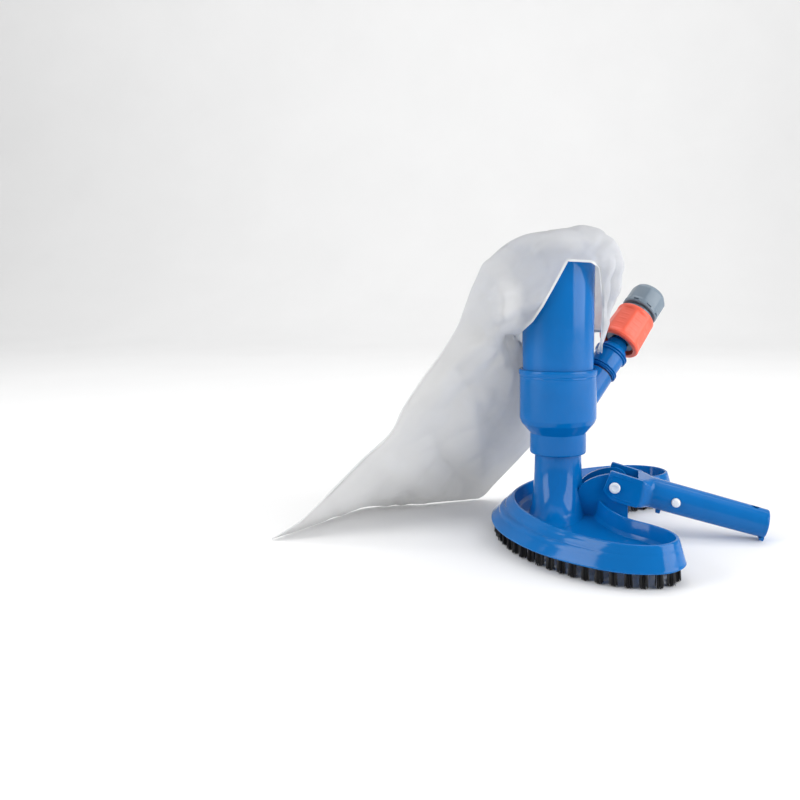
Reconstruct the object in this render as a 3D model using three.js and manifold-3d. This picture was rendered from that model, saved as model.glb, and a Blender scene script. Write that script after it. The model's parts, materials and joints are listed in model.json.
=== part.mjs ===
// A hand-held venturi vacuum head for pools and spas: a crescent head with a brush, a jet body that a
// garden hose feeds through a slanted inlet, a flanged discharge tube with a filter bag, and a hinged
// pole handle. Millimetres, +Z up. It is laid out about the axis of the tube, with the floor at z = 0,
// the concave side of the crescent and the handle towards +X, and the two lobes towards +Y and -Y.
import * as THREE from "three";
import { mergeVertices } from "three/addons/utils/BufferGeometryUtils.js";
import Module from "manifold-3d";

const wasm = await Module();
wasm.setup();

// ---------------------------------------------------------------- driving dimensions

const GAP = 0.4; // left between pieces that touch
const CUT = 2; // how far a cutting tool runs past the face it cuts

// head: heights above the floor, which the bristle tips touch
const SKIRT_Z = 13; // underside of the skirt
const RIM_Z = 33.5; // top of the tray's rim
const TRAY_Z = 19; // floor of the tray
const CEILING_Z = 16.2; // roof of the suction chamber under the tray
const RIM_WIDTH = 2.6;
const NECK_R = 22.3;
const SPIGOT_R = 20.6;
const SPIGOT_Z = [73.4, 102]; // the spigot that the jet body pushes onto
const NECK_WALL = 2.8;

// bristles
const TUFT_R = 3.1;
const TUFT_PITCH = 11.6;
const ROWS = 6;
const STRIP = { width: 4.6, height: 1.8, clearance: 1 };

// jet body and discharge tube
const SOCKET_R = 27;
const SOCKET_Z = [74, 94];
const CUP_R = 37;
const CUP_Z = [108, 154.5];
const CUP_WALL = 2.5;
const NOZZLE_Z = [136, 140];
const NOZZLE_HOLES = 8;
const TUBE_R = [33.9, 36]; // at its lower end and under the flange
const TUBE_WALL = 2.3;
const TUBE_TOP_Z = 274;
const FLANGE_R = 44;

// inlet branch: leaves the axis of the tube at BRANCH_Z, 45 degrees up, turned about Z
const BRANCH_Z = 90.4;
const BRANCH_TILT = THREE.MathUtils.degToRad(45);
const BRANCH_TURN = THREE.MathUtils.degToRad(48.5);
const BRANCH_R = 15.2;
const BRANCH_BORE_R = 10.5;
const BRANCH_END = 78; // distances along the branch start on the axis of the tube

// hose connector, along the branch
const SLEEVE = { from: 118, to: 158.5, r: [22.3, 20.6], bore: 17.1 };
const CAM = { from: 127.5, to: 131.5, r: [16.9, 15.4] }; // cone that holds the latch claws in
const SPRING_SEATS = [143, 153];
const NUT = { from: 164, to: 191, r: 19.4, bore: 15.4 };

// handle, along its own axis from the hinge pin
const PIN = { x: 54.6, z: 47, r: 3, head: 5.3, headThick: 2.2 };
const HANDLE_DROP = THREE.MathUtils.degToRad(13.2); // how far it hangs below level
const FIN = { inner: 12.2, outer: 15.8, frontX: 66.4 };
const EAR = { inner: 16.5, outer: 20.6 };
const HANDLE_R = [14, 12.9];
const HANDLE_WALL = 2.6;
const HANDLE_FROM = 22;
const HANDLE_END = 138;
const BUTTON = { at: 57, r: 4, reach: 17.4 };
const CROSS_HOLE = { at: 128, r: 3.9 };

const ROUND = 28; // sides of a large round
const SMALL_ROUND = 16; // sides of a small one

// ---------------------------------------------------------------- tools

const COLOURS = {
  blue: { color: 0x0a69b4, roughness: 0.28, metalness: 0 },
  black: { color: 0x101012, roughness: 0.8, metalness: 0 },
  coral: { color: 0xee6a52, roughness: 0.4, metalness: 0 },
  grey: { color: 0x7d8b95, roughness: 0.45, metalness: 0 },
  white: { color: 0xe9edf0, roughness: 0.35, metalness: 0 },
  steel: { color: 0xb8bcc0, roughness: 0.3, metalness: 1 },
  cloth: { color: 0xe6e8ea, roughness: 0.9, metalness: 0 },
};

function solid(geometry) {
  const bare = geometry.index ? geometry.toNonIndexed() : geometry.clone();
  bare.deleteAttribute("normal");
  bare.deleteAttribute("uv");
  const merged = mergeVertices(bare, 1e-4);
  const triVerts = new Uint32Array(merged.index.array);
  return new wasm.Manifold(
    new wasm.Mesh({ numProp: 3, vertProperties: merged.attributes.position.array, triVerts }),
  );
}

function geometryOf(manifold) {
  const mesh = manifold.getMesh();
  const positions = new Float32Array(mesh.numVert * 3);
  for (let i = 0; i < mesh.numVert; i++)
    positions.set(mesh.vertProperties.subarray(i * mesh.numProp, i * mesh.numProp + 3), i * 3);
  const geometry = new THREE.BufferGeometry();
  geometry.setAttribute("position", new THREE.BufferAttribute(positions, 3));
  geometry.setIndex(new THREE.BufferAttribute(mesh.triVerts, 1));
  geometry.computeVertexNormals();
  return geometry;
}

function add(parent, name, colour, shape) {
  const geometry = shape.isBufferGeometry ? shape : geometryOf(shape);
  const mesh = new THREE.Mesh(geometry, new THREE.MeshStandardMaterial(COLOURS[colour]));
  mesh.name = name;
  parent.add(mesh);
  return mesh;
}

// A solid of revolution about Z. Its [radius, z] profile runs counter-clockwise and is closed here.
function turned(profile, sides = ROUND) {
  const points = [...profile, profile[0]].map(([r, z]) => new THREE.Vector2(r, z));
  return solid(new THREE.LatheGeometry(points, sides).rotateX(Math.PI / 2));
}

function rod(r, z0, z1, sides = SMALL_ROUND) {
  const height = z1 - z0;
  const geometry = new THREE.CylinderGeometry(r, r, height, sides);
  return geometry.rotateX(Math.PI / 2).translate(0, 0, z0 + height / 2);
}

function pipe(outer, inner, z0, z1, sides = ROUND) {
  return turned([[inner, z0], [outer, z0], [outer, z1], [inner, z1]], sides);
}

function block(x0, x1, y0, y1, z0, z1) {
  const geometry = new THREE.BoxGeometry(x1 - x0, y1 - y0, z1 - z0);
  return geometry.translate((x0 + x1) / 2, (y0 + y1) / 2, (z0 + z1) / 2);
}

// A plate whose [x, z] outline lies in the XZ plane, from y0 to y1.
function plate(outline, y0, y1) {
  const shape = new THREE.Shape(outline.map(([x, z]) => new THREE.Vector2(x, z)));
  const geometry = new THREE.ExtrudeGeometry(shape, { depth: y1 - y0, bevelEnabled: false });
  return solid(geometry.rotateX(Math.PI / 2).translate(0, y1, 0));
}

// A closed skin through rings of equal length, with its first and last ring capped. The rings run
// counter-clockwise seen from the end that the skin grows towards.
function loft(rings) {
  const count = rings[0].length;
  const positions = rings.flat().flatMap((p) => [p.x, p.y, p.z]);
  const index = [];
  for (let k = 0; k + 1 < rings.length; k++)
    for (let i = 0; i < count; i++) {
      const j = (i + 1) % count;
      const [a, b, c, d] = [k * count + i, k * count + j, (k + 1) * count + j, (k + 1) * count + i];
      index.push(a, b, c, a, c, d);
    }
  const capOf = (ring) => THREE.ShapeUtils.triangulateShape(flattened(ring), []);
  for (const [a, b, c] of capOf(rings[0])) index.push(c, b, a);
  const top = (rings.length - 1) * count;
  for (const [a, b, c] of capOf(rings.at(-1))) index.push(top + a, top + b, top + c);
  const geometry = new THREE.BufferGeometry();
  geometry.setAttribute("position", new THREE.Float32BufferAttribute(positions, 3));
  geometry.setIndex(index);
  return solid(geometry);
}

// A ring's points in its own plane, turning the same way.
function flattened(ring) {
  const centre = ring.reduce((s, p) => s.add(p), new THREE.Vector3()).divideScalar(ring.length);
  const normal = new THREE.Vector3();
  const side = new THREE.Vector3();
  ring.forEach((p, i) => {
    side.subVectors(ring[(i + 1) % ring.length], centre);
    normal.add(p.clone().sub(centre).cross(side));
  });
  normal.normalize();
  const x = ring[0].clone().sub(centre);
  x.addScaledVector(normal, -x.dot(normal)).normalize();
  const y = normal.clone().cross(x);
  return ring.map((p) => {
    const q = p.clone().sub(centre);
    return new THREE.Vector2(q.dot(x), q.dot(y));
  });
}

const smoothstep = THREE.MathUtils.smoothstep;

// ---------------------------------------------------------------- crescent outline

// Half of the rim's inner edge, from the middle of the convex side round a lobe to the middle of the
// concave side; the other half is its mirror image.
const HALF_RIM = [
  [-41.5, 0], [-38.5, 22], [-30, 47], [-15, 73], [6, 99], [32, 120], [56, 132.5], [76, 136],
  [94.5, 131], [104.5, 116.5], [101, 101], [87.5, 86], [65, 68.5], [50.5, 47], [41, 24], [38, 0],
];
const OUTLINE_STEPS = 64;

const outline = (() => {
  const far = HALF_RIM.slice(1, -1).reverse();
  const all = [...HALF_RIM.map(([x, y]) => [x, -y]), ...far];
  const curve = new THREE.CatmullRomCurve3(
    all.map(([x, y]) => new THREE.Vector3(x, y, 0)),
    true,
    "centripetal",
  );
  const points = curve.getSpacedPoints(OUTLINE_STEPS).slice(0, OUTLINE_STEPS);
  return points.map((point, i) => {
    const before = points[(i + OUTLINE_STEPS - 1) % OUTLINE_STEPS];
    const after = points[(i + 1) % OUTLINE_STEPS];
    const along = after.clone().sub(before).normalize();
    const outward = new THREE.Vector3(along.y, -along.x, 0);
    // the stepped tiers run along the convex side only and die out towards the lobes
    const convex = outward.x < 0.35 || Math.abs(outward.y) > 0.75 && point.y * outward.y > 0;
    const tier = convex ? 1 - smoothstep(point.x, -60, 80) : 0;
    return { point, outward, tier };
  });
})();

function ringAt(z, offset) {
  return outline.map(({ point, outward, tier }) => {
    const distance = typeof offset === "function" ? offset(tier) : offset;
    const p = point.clone().addScaledVector(outward, distance);
    p.z = z;
    return p;
  });
}

// how far the skirt stands out at height z, where it has its tiers and where it is plain
const TIERS = [
  [SKIRT_Z, 23, 8.4],
  [15, 22.4, 7.9],
  [24.3, 13.2, 5.2],
  [25.6, 8.6, 4.9],
  [29, 7.8, 4],
  [30.2, 4.2, 3.6],
  [RIM_Z, RIM_WIDTH, RIM_WIDTH],
];
const skirtAt = (row) => (tier) => THREE.MathUtils.lerp(TIERS[row][2], TIERS[row][1], tier);
const TUFT_INSET = 7; // from the skirt's lower edge to the middle of the tufts

// ---------------------------------------------------------------- head

function ovalRing(z, rx, ry, shiftX = 0) {
  const ring = [];
  for (let i = 0; i < ROUND; i++) {
    const a = (2 * Math.PI * i) / ROUND;
    ring.push(new THREE.Vector3(shiftX + rx * Math.cos(a), ry * Math.sin(a), z));
  }
  return ring;
}

// [z, half width across, half width along the crescent] of the neck where it flares into the tray
const NECK_FLARE = [
  [CEILING_Z - 1, 26.5, 62],
  [21, 26, 52],
  [26, 25.2, 42],
  [33, 24.4, 34],
  [44, 23.4, 27.5],
  [58, 22.6, 23.6],
  [SPIGOT_Z[0], NECK_R, NECK_R],
];

function finOutline() {
  const arch = new THREE.EllipseCurve(PIN.x - 2, PIN.z - 1.5, 34, 12.8, Math.PI, Math.PI / 2, true);
  const nose = new THREE.EllipseCurve(PIN.x - 2, PIN.z - 1.5, FIN.frontX - PIN.x + 2, 12.8, Math.PI / 2, 0, true);
  const top = [...arch.getPoints(8), ...nose.getPoints(5).slice(1)].map((p) => [p.x, p.y]);
  return [...top, [FIN.frontX, SKIRT_Z + 0.6], [20, SKIRT_Z + 4]].reverse();
}

function headShell() {
  const body = loft(TIERS.map(([z], row) => ringAt(z, skirtAt(row))));
  const tray = loft([ringAt(TRAY_Z, -4), ringAt(TRAY_Z + 4, -2), ringAt(RIM_Z, 0), ringAt(RIM_Z + CUT, 0)]);
  const chamber = loft([ringAt(SKIRT_Z - CUT, -2.4), ringAt(SKIRT_Z, -2.4), ringAt(CEILING_Z, -4)]);
  const neck = loft(NECK_FLARE.map(([z, rx, ry]) => ovalRing(z, rx, ry)));
  const spigot = solid(rod(SPIGOT_R, SPIGOT_Z[0] - 1, SPIGOT_Z[1], ROUND));
  const bore = loft([
    ...NECK_FLARE.map(([z, rx, ry]) => ovalRing(z, rx - NECK_WALL, ry - NECK_WALL)).slice(0, -1),
    ovalRing(SPIGOT_Z[0], SPIGOT_R - NECK_WALL, SPIGOT_R - NECK_WALL),
    ovalRing(SPIGOT_Z[1] + CUT, SPIGOT_R - NECK_WALL, SPIGOT_R - NECK_WALL),
  ]);
  let head = body.subtract(tray).add(neck).add(spigot);
  for (const side of [-1, 1]) {
    const [y0, y1] = [side * FIN.inner, side * FIN.outer].sort((a, b) => a - b);
    head = head.add(plate(finOutline(), y0, y1));
  }
  const pinHole = rod(PIN.r + GAP, -30, 30).rotateX(Math.PI / 2).translate(PIN.x, 0, PIN.z);
  return head.subtract(chamber).subtract(bore).subtract(solid(pinHole)).subtract(groove());
}

// The slot in the underside of the skirt that the bristle strips sit in.
function groove() {
  const half = STRIP.width / 2 + STRIP.clearance;
  const outer = (tier) => skirtAt(0)(tier) - TUFT_INSET + half;
  const inner = (tier) => skirtAt(0)(tier) - TUFT_INSET - half;
  const depth = SKIRT_Z + STRIP.height + GAP;
  const slab = (offset) => loft([ringAt(SKIRT_Z - CUT, offset), ringAt(depth, offset)]);
  return slab(outer).subtract(slab(inner));
}

// One stretch of the brush: tufts that stand on a thin strip, which bends round the skirt.
function bristleRow(row) {
  const centre = ringAt(SKIRT_Z, (tier) => skirtAt(0)(tier) - TUFT_INSET);
  const path = new THREE.CatmullRomCurve3(centre, true, "centripetal");
  path.arcLengthDivisions = 600;
  const tufts = Math.round(path.getLength() / TUFT_PITCH / ROWS);
  const count = tufts * ROWS;
  const spot = (n) => ((n / count) % 1 + 1) % 1;
  const start = row * tufts;
  const left = [];
  const right = [];
  const stretch = 2 * tufts;
  for (let i = 0; i <= stretch; i++) {
    const n = start - 0.42 + (i / stretch) * (tufts - 0.16);
    const p = path.getPointAt(spot(n));
    const along = path.getTangentAt(spot(n));
    const across = new THREE.Vector3(along.y, -along.x, 0).multiplyScalar(STRIP.width / 2);
    left.push(p.clone().add(across));
    right.push(p.clone().sub(across));
  }
  const border = [...left, ...right.reverse()];
  const lift = (z) => border.map((p) => new THREE.Vector3(p.x, p.y, z));
  const flat = lift(SKIRT_Z + 0.2);
  const turn = THREE.ShapeUtils.area(flat) > 0 ? (ring) => ring : (ring) => [...ring].reverse();
  let strip = loft([turn(flat), turn(lift(SKIRT_Z + STRIP.height))]);
  for (let i = 0; i < tufts; i++) {
    const p = path.getPointAt(spot(start + i));
    const tuft = new THREE.CylinderGeometry(TUFT_R * 0.72, TUFT_R, SKIRT_Z + 1, 6);
    tuft.rotateX(Math.PI / 2).translate(p.x, p.y, (SKIRT_Z + 1) / 2);
    strip = strip.add(solid(tuft));
  }
  return strip;
}

// ---------------------------------------------------------------- jet body and discharge tube

function alongBranch() {
  const group = new THREE.Group();
  group.position.set(0, 0, BRANCH_Z);
  const direction = new THREE.Vector3(
    Math.sin(BRANCH_TILT) * Math.cos(BRANCH_TURN),
    Math.sin(BRANCH_TILT) * Math.sin(BRANCH_TURN),
    Math.cos(BRANCH_TILT),
  );
  group.quaternion.setFromUnitVectors(new THREE.Vector3(0, 0, 1), direction);
  group.updateMatrix();
  return group;
}

function jetBody() {
  const inside = CUP_R - CUP_WALL;
  const outer = turned([
    [0, SOCKET_Z[0] + 0.3],
    [SOCKET_R - 1.2, SOCKET_Z[0]],
    [SOCKET_R, SOCKET_Z[0] + 1.4],
    [SOCKET_R, SOCKET_Z[1]],
    [SOCKET_R + 4, SOCKET_Z[1] + 4],
    [CUP_R - 1.2, CUP_Z[0] - 4],
    [CUP_R, CUP_Z[0]],
    [CUP_R, CUP_Z[1] - 8],
    [CUP_R + 0.9, CUP_Z[1] - 6.4],
    [CUP_R + 0.9, CUP_Z[1] - 0.8],
    [CUP_R, CUP_Z[1]],
    [0, CUP_Z[1]],
  ]);
  const cavity = turned([
    [0, SOCKET_Z[0] - CUT],
    [SPIGOT_R + GAP, SOCKET_Z[0] - CUT],
    [SPIGOT_R + GAP, SPIGOT_Z[1] + GAP],
    [SPIGOT_R - NECK_WALL, SPIGOT_Z[1] + GAP],
    [SPIGOT_R - NECK_WALL, SPIGOT_Z[1] + 3],
    [SPIGOT_R + 1, SPIGOT_Z[1] + 3],
    [inside, CUP_Z[0] + 5],
    [inside, CUP_Z[1] + CUT],
    [0, CUP_Z[1] + CUT],
  ]);
  const frame = alongBranch().matrix;
  const branch = solid(rod(BRANCH_R, 30, BRANCH_END, ROUND).applyMatrix4(frame));
  const bore = solid(rod(BRANCH_BORE_R, 30, BRANCH_END + CUT, ROUND).applyMatrix4(frame));
  return outer.add(branch).subtract(cavity).subtract(bore);
}

// The inner wall of the pressure chamber, with a ring of upward jets in its top.
function nozzleRing() {
  const throat = SPIGOT_R - NECK_WALL;
  const rim = CUP_R - CUP_WALL - GAP;
  let ring = turned([
    [throat, SPIGOT_Z[1] + 3 + GAP],
    [throat + 2, SPIGOT_Z[1] + 3 + GAP],
    [throat + 2, NOZZLE_Z[0]],
    [rim, NOZZLE_Z[0]],
    [rim, NOZZLE_Z[1]],
    [throat, NOZZLE_Z[1]],
  ]);
  for (let i = 0; i < NOZZLE_HOLES; i++) {
    const a = (2 * Math.PI * i) / NOZZLE_HOLES;
    const hole = rod(1.6, NOZZLE_Z[0] - CUT, NOZZLE_Z[1] + CUT, 8);
    ring = ring.subtract(solid(hole.translate(26 * Math.cos(a), 26 * Math.sin(a), 0)));
  }
  return ring;
}

function dischargeTube() {
  const foot = NOZZLE_Z[1] + GAP;
  return turned([
    [TUBE_R[0] - TUBE_WALL, foot],
    [TUBE_R[0], foot],
    [TUBE_R[1], TUBE_TOP_Z - 9],
    [TUBE_R[1] + 2.4, TUBE_TOP_Z - 4.5],
    [FLANGE_R - 0.6, TUBE_TOP_Z - 3.2],
    [FLANGE_R, TUBE_TOP_Z - 1.6],
    [FLANGE_R - 0.6, TUBE_TOP_Z],
    [TUBE_R[1] - TUBE_WALL + 1, TUBE_TOP_Z],
    [TUBE_R[1] - TUBE_WALL, TUBE_TOP_Z - 4],
  ]);
}

// ---------------------------------------------------------------- inlet

const NIPPLE = { neck: 8, groove: 7.2, collar: 8.4, tip: 143, bore: 4.6 };

function inletAdapter() {
  const spigot = BRANCH_BORE_R - GAP;
  return turned([
    [NIPPLE.bore, BRANCH_END - 8],
    [spigot, BRANCH_END - 8],
    [spigot, BRANCH_END + 1.8],
    [15.2, BRANCH_END + 1.8],
    [16.2, BRANCH_END + 2.8],
    [15.2, BRANCH_END + 3.9],
    [16.2, BRANCH_END + 5],
    [15, BRANCH_END + 6.2],
    [15.3, 101],
    [16.9, 102.3],
    [15.8, 103.5],
    [17, 104.7],
    [16.6, 106.7],
    [13.6, 110.4],
    [10.8, 113],
    [10.8, 119],
    [NIPPLE.neck, 121],
    [NIPPLE.groove, 125],
    [NIPPLE.groove, 132.6],
    [NIPPLE.collar, 133.6],
    [NIPPLE.collar, 136.6],
    [6.4, 136.6],
    [6.4, 140.2],
    [NIPPLE.collar, 140.2],
    [NIPPLE.collar - 0.8, NIPPLE.tip],
    [NIPPLE.bore, NIPPLE.tip],
  ], 20);
}

function ringSeal(radius, thickness, at) {
  return solid(new THREE.TorusGeometry(radius, thickness, 6, 18).translate(0, 0, at));
}

// ---------------------------------------------------------------- hose connector

const CLAW = { from: 128, to: 131.4, inner: 7.6, outer: 15, half: 3.4 };

function connectorBody() {
  const shell = turned([
    [9.5, 122],
    [15, 122],
    [15, 126],
    [13, 126.6],
    [13, SPRING_SEATS[1]],
    [16.6, SPRING_SEATS[1]],
    [16.6, 162],
    [13.2, 162],
    [13.2, 178],
    [9, 178],
    [9, 180.2],
    [8, 184],
    [8.7, 184],
    [7.4, 189],
    [8, 189],
    [6.6, 194],
    [5, 194],
    [5, 145],
    [9.5, 145],
  ], 20);
  const side = CLAW.half + GAP;
  const window = block(-20, 20, -side, side, CLAW.from - GAP, CLAW.to + GAP);
  return shell.subtract(solid(window));
}

function latchClaw(side) {
  const arc = solid(rod(CLAW.outer, CLAW.from, CLAW.to, 32));
  const core = solid(rod(CLAW.inner, CLAW.from - 1, CLAW.to + 1, 24));
  const [x0, x1] = side > 0 ? [0.5, 20] : [-20, -0.5];
  const wedge = solid(block(x0, x1, -CLAW.half, CLAW.half, CLAW.from, CLAW.to));
  return arc.subtract(core).intersect(wedge);
}

function sleeveSpring() {
  const turns = 4;
  const steps = 44;
  const [z0, z1] = [SPRING_SEATS[0] + 1, SPRING_SEATS[1] - 1];
  const points = [];
  for (let i = 0; i <= steps; i++) {
    const a = (2 * Math.PI * turns * i) / steps;
    points.push(new THREE.Vector3(14.4 * Math.cos(a), 14.4 * Math.sin(a), z0 + ((z1 - z0) * i) / steps));
  }
  const wire = new THREE.Shape(new THREE.EllipseCurve(0, 0, 0.55, 0.55, 0, 2 * Math.PI).getPoints(5).slice(0, 5));
  const extrudePath = new THREE.CatmullRomCurve3(points);
  return solid(new THREE.ExtrudeGeometry(wire, { steps: 48, extrudePath, bevelEnabled: false }));
}

function releaseSleeve() {
  let sleeve = turned([
    [CAM.r[0] + 0.2, SLEEVE.from],
    [SLEEVE.r[0] - 1.4, SLEEVE.from],
    [SLEEVE.r[0], SLEEVE.from + 1.6],
    [SLEEVE.r[0] - 0.3, SLEEVE.from + 8],
    [SLEEVE.r[1], SLEEVE.to - 3],
    [SLEEVE.r[1] - 0.8, SLEEVE.to],
    [SLEEVE.bore, SLEEVE.to],
    [SLEEVE.bore, SPRING_SEATS[0]],
    [13.4, SPRING_SEATS[0]],
    [13.4, SPRING_SEATS[0] - 3],
    [CAM.r[1], SPRING_SEATS[0] - 3],
    [CAM.r[1], CAM.to],
    [CAM.r[0], CAM.from],
  ], 24);
  // flat grip panels
  const panels = 8;
  for (let i = 0; i < panels; i++) {
    const flat = block(SLEEVE.r[1], 30, -5.2, 5.2, SLEEVE.from + 7, SLEEVE.to - 6);
    sleeve = sleeve.subtract(solid(flat.rotateZ((2 * Math.PI * (i + 0.5)) / panels)));
  }
  return sleeve;
}

function collet() {
  let ring = pipe(13.6, 10.6, 180, 188.4, 24);
  const slots = 6;
  for (let i = 0; i < slots; i++) {
    const slot = block(8, 20, -0.9, 0.9, 182.4, 192);
    ring = ring.subtract(solid(slot.rotateZ((2 * Math.PI * i) / slots)));
  }
  return ring;
}

function connectorNut() {
  let nut = turned([
    [NUT.bore, NUT.from],
    [NUT.r - 1, NUT.from],
    [NUT.r, NUT.from + 1.2],
    [NUT.r, NUT.from + 15],
    [NUT.r - 1.2, NUT.to - 4],
    [NUT.r - 4.5, NUT.to],
    [10.4, NUT.to],
    [10.4, NUT.to - 2],
    [NUT.bore, NUT.to - 2],
  ], 24);
  const flats = 8;
  for (let i = 0; i < flats; i++) {
    const flat = block(NUT.r - 1, 30, -4.6, 4.6, NUT.from + 5, NUT.to + CUT);
    nut = nut.subtract(solid(flat.rotateZ((2 * Math.PI * (i + 0.5)) / flats)));
  }
  return nut;
}

// ---------------------------------------------------------------- handle

// along +X from the hinge pin, with +Z square to it
function handleTube() {
  const onX = (manifoldGeometry) => manifoldGeometry.rotateY(Math.PI / 2);
  const length = HANDLE_END - HANDLE_FROM;
  const barrel = new THREE.CylinderGeometry(HANDLE_R[1], HANDLE_R[0], length, ROUND)
    .rotateX(Math.PI / 2).translate(0, 0, HANDLE_FROM + length / 2);
  let handle = solid(onX(barrel));
  // yoke: a block that narrows to the tube, and two ears
  const yoke = new THREE.Shape([
    new THREE.Vector2(19, -EAR.outer),
    new THREE.Vector2(24, -EAR.outer),
    new THREE.Vector2(34, -HANDLE_R[0] + 2),
    new THREE.Vector2(34, HANDLE_R[0] - 2),
    new THREE.Vector2(24, EAR.outer),
    new THREE.Vector2(19, EAR.outer),
  ]);
  const yokeHeight = 2 * HANDLE_R[0] - 2;
  const yokeBlock = new THREE.ExtrudeGeometry(yoke, { depth: yokeHeight, bevelEnabled: false });
  handle = handle.add(solid(yokeBlock.translate(0, 0, -yokeHeight / 2)));
  const ear = [[24, 13], [-7, 14.2], [-10, -5.5], [-1.5, -12], [14, -13.2], [24, -12.6]];
  for (const side of [-1, 1]) {
    const [y0, y1] = [side * EAR.inner, side * EAR.outer].sort((a, b) => a - b);
    handle = handle.add(plate([...ear].reverse(), y0, y1));
  }
  handle = handle.add(solid(block(42, 46, -2.5, 2.5, -HANDLE_R[0] - 3.2, -HANDLE_R[0] + 1.5)));
  const inside = HANDLE_R[1] - HANDLE_WALL;
  handle = handle.subtract(solid(onX(rod(inside, 28, HANDLE_END + CUT, ROUND))));
  const across = (r, x) => solid(rod(r, -30, 30).rotateX(Math.PI / 2).translate(x, 0, 0));
  const upright = solid(rod(CROSS_HOLE.r, -30, 30).translate(CROSS_HOLE.at, 0, 0));
  return handle.subtract(across(BUTTON.r + GAP, BUTTON.at)).subtract(across(PIN.r + GAP, 0)).subtract(upright);
}

function handleEndPlug() {
  const inside = HANDLE_R[1] - HANDLE_WALL - GAP;
  const disc = rod(HANDLE_R[1], HANDLE_END + GAP, HANDLE_END + 3, ROUND).rotateY(Math.PI / 2);
  const spigot = rod(inside, HANDLE_END - 4, HANDLE_END + 1, ROUND).rotateY(Math.PI / 2);
  const lip = block(HANDLE_END + GAP, HANDLE_END + 3, -5, 5, -HANDLE_R[1] - 2, -HANDLE_R[1] + 2);
  return solid(disc).add(solid(spigot)).add(solid(lip));
}

function hingePin() {
  const reach = EAR.outer + 2.4;
  const shaft = rod(PIN.r, -EAR.outer - 0.6, reach, SMALL_ROUND);
  const head = rod(PIN.head, -EAR.outer - GAP - PIN.headThick, -EAR.outer - GAP, SMALL_ROUND);
  return solid(shaft.rotateX(-Math.PI / 2)).add(solid(head.rotateX(-Math.PI / 2)));
}

function pinRetainer() {
  const cup = turned([
    [PIN.r + GAP, EAR.outer + GAP],
    [PIN.head, EAR.outer + GAP],
    [PIN.head, EAR.outer + 3.6],
    [PIN.head - 0.8, EAR.outer + 4.4],
    [0, EAR.outer + 4.4],
    [0, EAR.outer + 2.4 + GAP],
    [PIN.r + GAP, EAR.outer + 2.4 + GAP],
  ], SMALL_ROUND);
  return geometryOf(cup).rotateX(-Math.PI / 2);
}

function snapButton(side) {
  const button = turned([
    [0, 7.7], [5, 7.7], [5, 8.6], [BUTTON.r, 8.6], [BUTTON.r, BUTTON.reach - 1.4],
    [BUTTON.r - 1.4, BUTTON.reach], [0, BUTTON.reach],
  ], SMALL_ROUND);
  return geometryOf(button).rotateX((-side * Math.PI) / 2).translate(BUTTON.at, 0, 0);
}

// A strip of spring steel folded into a V, its bend towards the far end of the handle.
function snapSpring() {
  const [reach, thick, bend] = [7.3, 0.8, 40];
  const outer = [[-4, reach], [5, reach], [bend, 2.2], [bend + 2.4, 0], [bend, -2.2], [5, -reach], [-4, -reach]];
  const inner = outer.map(([x, y]) => [x > bend ? x - thick : x, y - Math.sign(y) * thick]).reverse();
  const shape = new THREE.Shape([...outer, ...inner].map(([x, y]) => new THREE.Vector2(x, y)));
  const strip = new THREE.ExtrudeGeometry(shape, { depth: 6, bevelEnabled: false });
  return solid(strip.translate(BUTTON.at, 0, -3));
}

// ---------------------------------------------------------------- filter bag

// The bag hangs away from the tube along -U and a little towards +V, two level directions that are
// square to each other. Each section is a lens between its left and right seam.
const HANG = THREE.MathUtils.degToRad(8);
const hung = (u, v, z) =>
  new THREE.Vector3(u * Math.cos(HANG) - v * Math.sin(HANG), u * Math.sin(HANG) + v * Math.cos(HANG), z);

// left seam, right seam, half thickness
const BAG_SECTIONS = [
  [hung(-262, -34, 3.2), hung(-90, 98, 3.2), 2.8],
  [hung(-216, -30, 34), hung(-70, 95, 18), 9],
  [hung(-162, -22, 94), hung(-40, 88, 56), 17],
  [hung(-131, -16, 142), hung(-4, 76, 104), 24],
  [hung(-98, -8, 194), hung(34, 56, 172), 33],
  [hung(-82, -5, 230), hung(52, 30, 216), 46],
  [hung(-68, -2, 258), hung(60, 8, 248), 53],
  [hung(-46, 0, 281), hung(56, 4, 277), 52],
  [hung(-20, 0, 290), hung(36, 2, 289), 30],
];
const BAG_WALL = 2.4;
const BAG_CLEARANCE = 2.4; // from the cloth to the tube's flange

function bagSection(k, shrink) {
  const [left, right, half] = BAG_SECTIONS[k];
  const before = BAG_SECTIONS[Math.max(k - 1, 0)];
  const after = BAG_SECTIONS[Math.min(k + 1, BAG_SECTIONS.length - 1)];
  const middle = left.clone().add(right).multiplyScalar(0.5);
  const path = after[0].clone().add(after[1]).sub(before[0]).sub(before[1]).normalize();
  const across = right.clone().sub(left).multiplyScalar(0.5);
  const width = across.length() - shrink;
  across.normalize();
  const through = path.clone().cross(across).normalize();
  const sides = 24;
  const ring = [];
  for (let i = 0; i < sides; i++) {
    const a = (2 * Math.PI * i) / sides;
    const p = middle.clone().addScaledVector(across, width * Math.cos(a));
    ring.push(p.addScaledVector(through, Math.max(half - shrink, 0.4) * Math.sin(a)));
  }
  return ring;
}

function filterBag() {
  const levels = BAG_SECTIONS.map((_, k) => k);
  const skin = loft(levels.map((k) => bagSection(k, 0)));
  const crown = bagSection(levels.at(-1), BAG_WALL + 3);
  crown.forEach((p) => p.setZ(p.z - BAG_WALL));
  const hollow = loft([...levels.slice(1, -1).map((k) => bagSection(k, BAG_WALL)), crown]);
  const well = solid(rod(FLANGE_R + BAG_CLEARANCE, 0, TUBE_TOP_Z + 1.5, ROUND));
  return skin.subtract(hollow).subtract(well);
}

// ---------------------------------------------------------------- assembly

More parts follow.
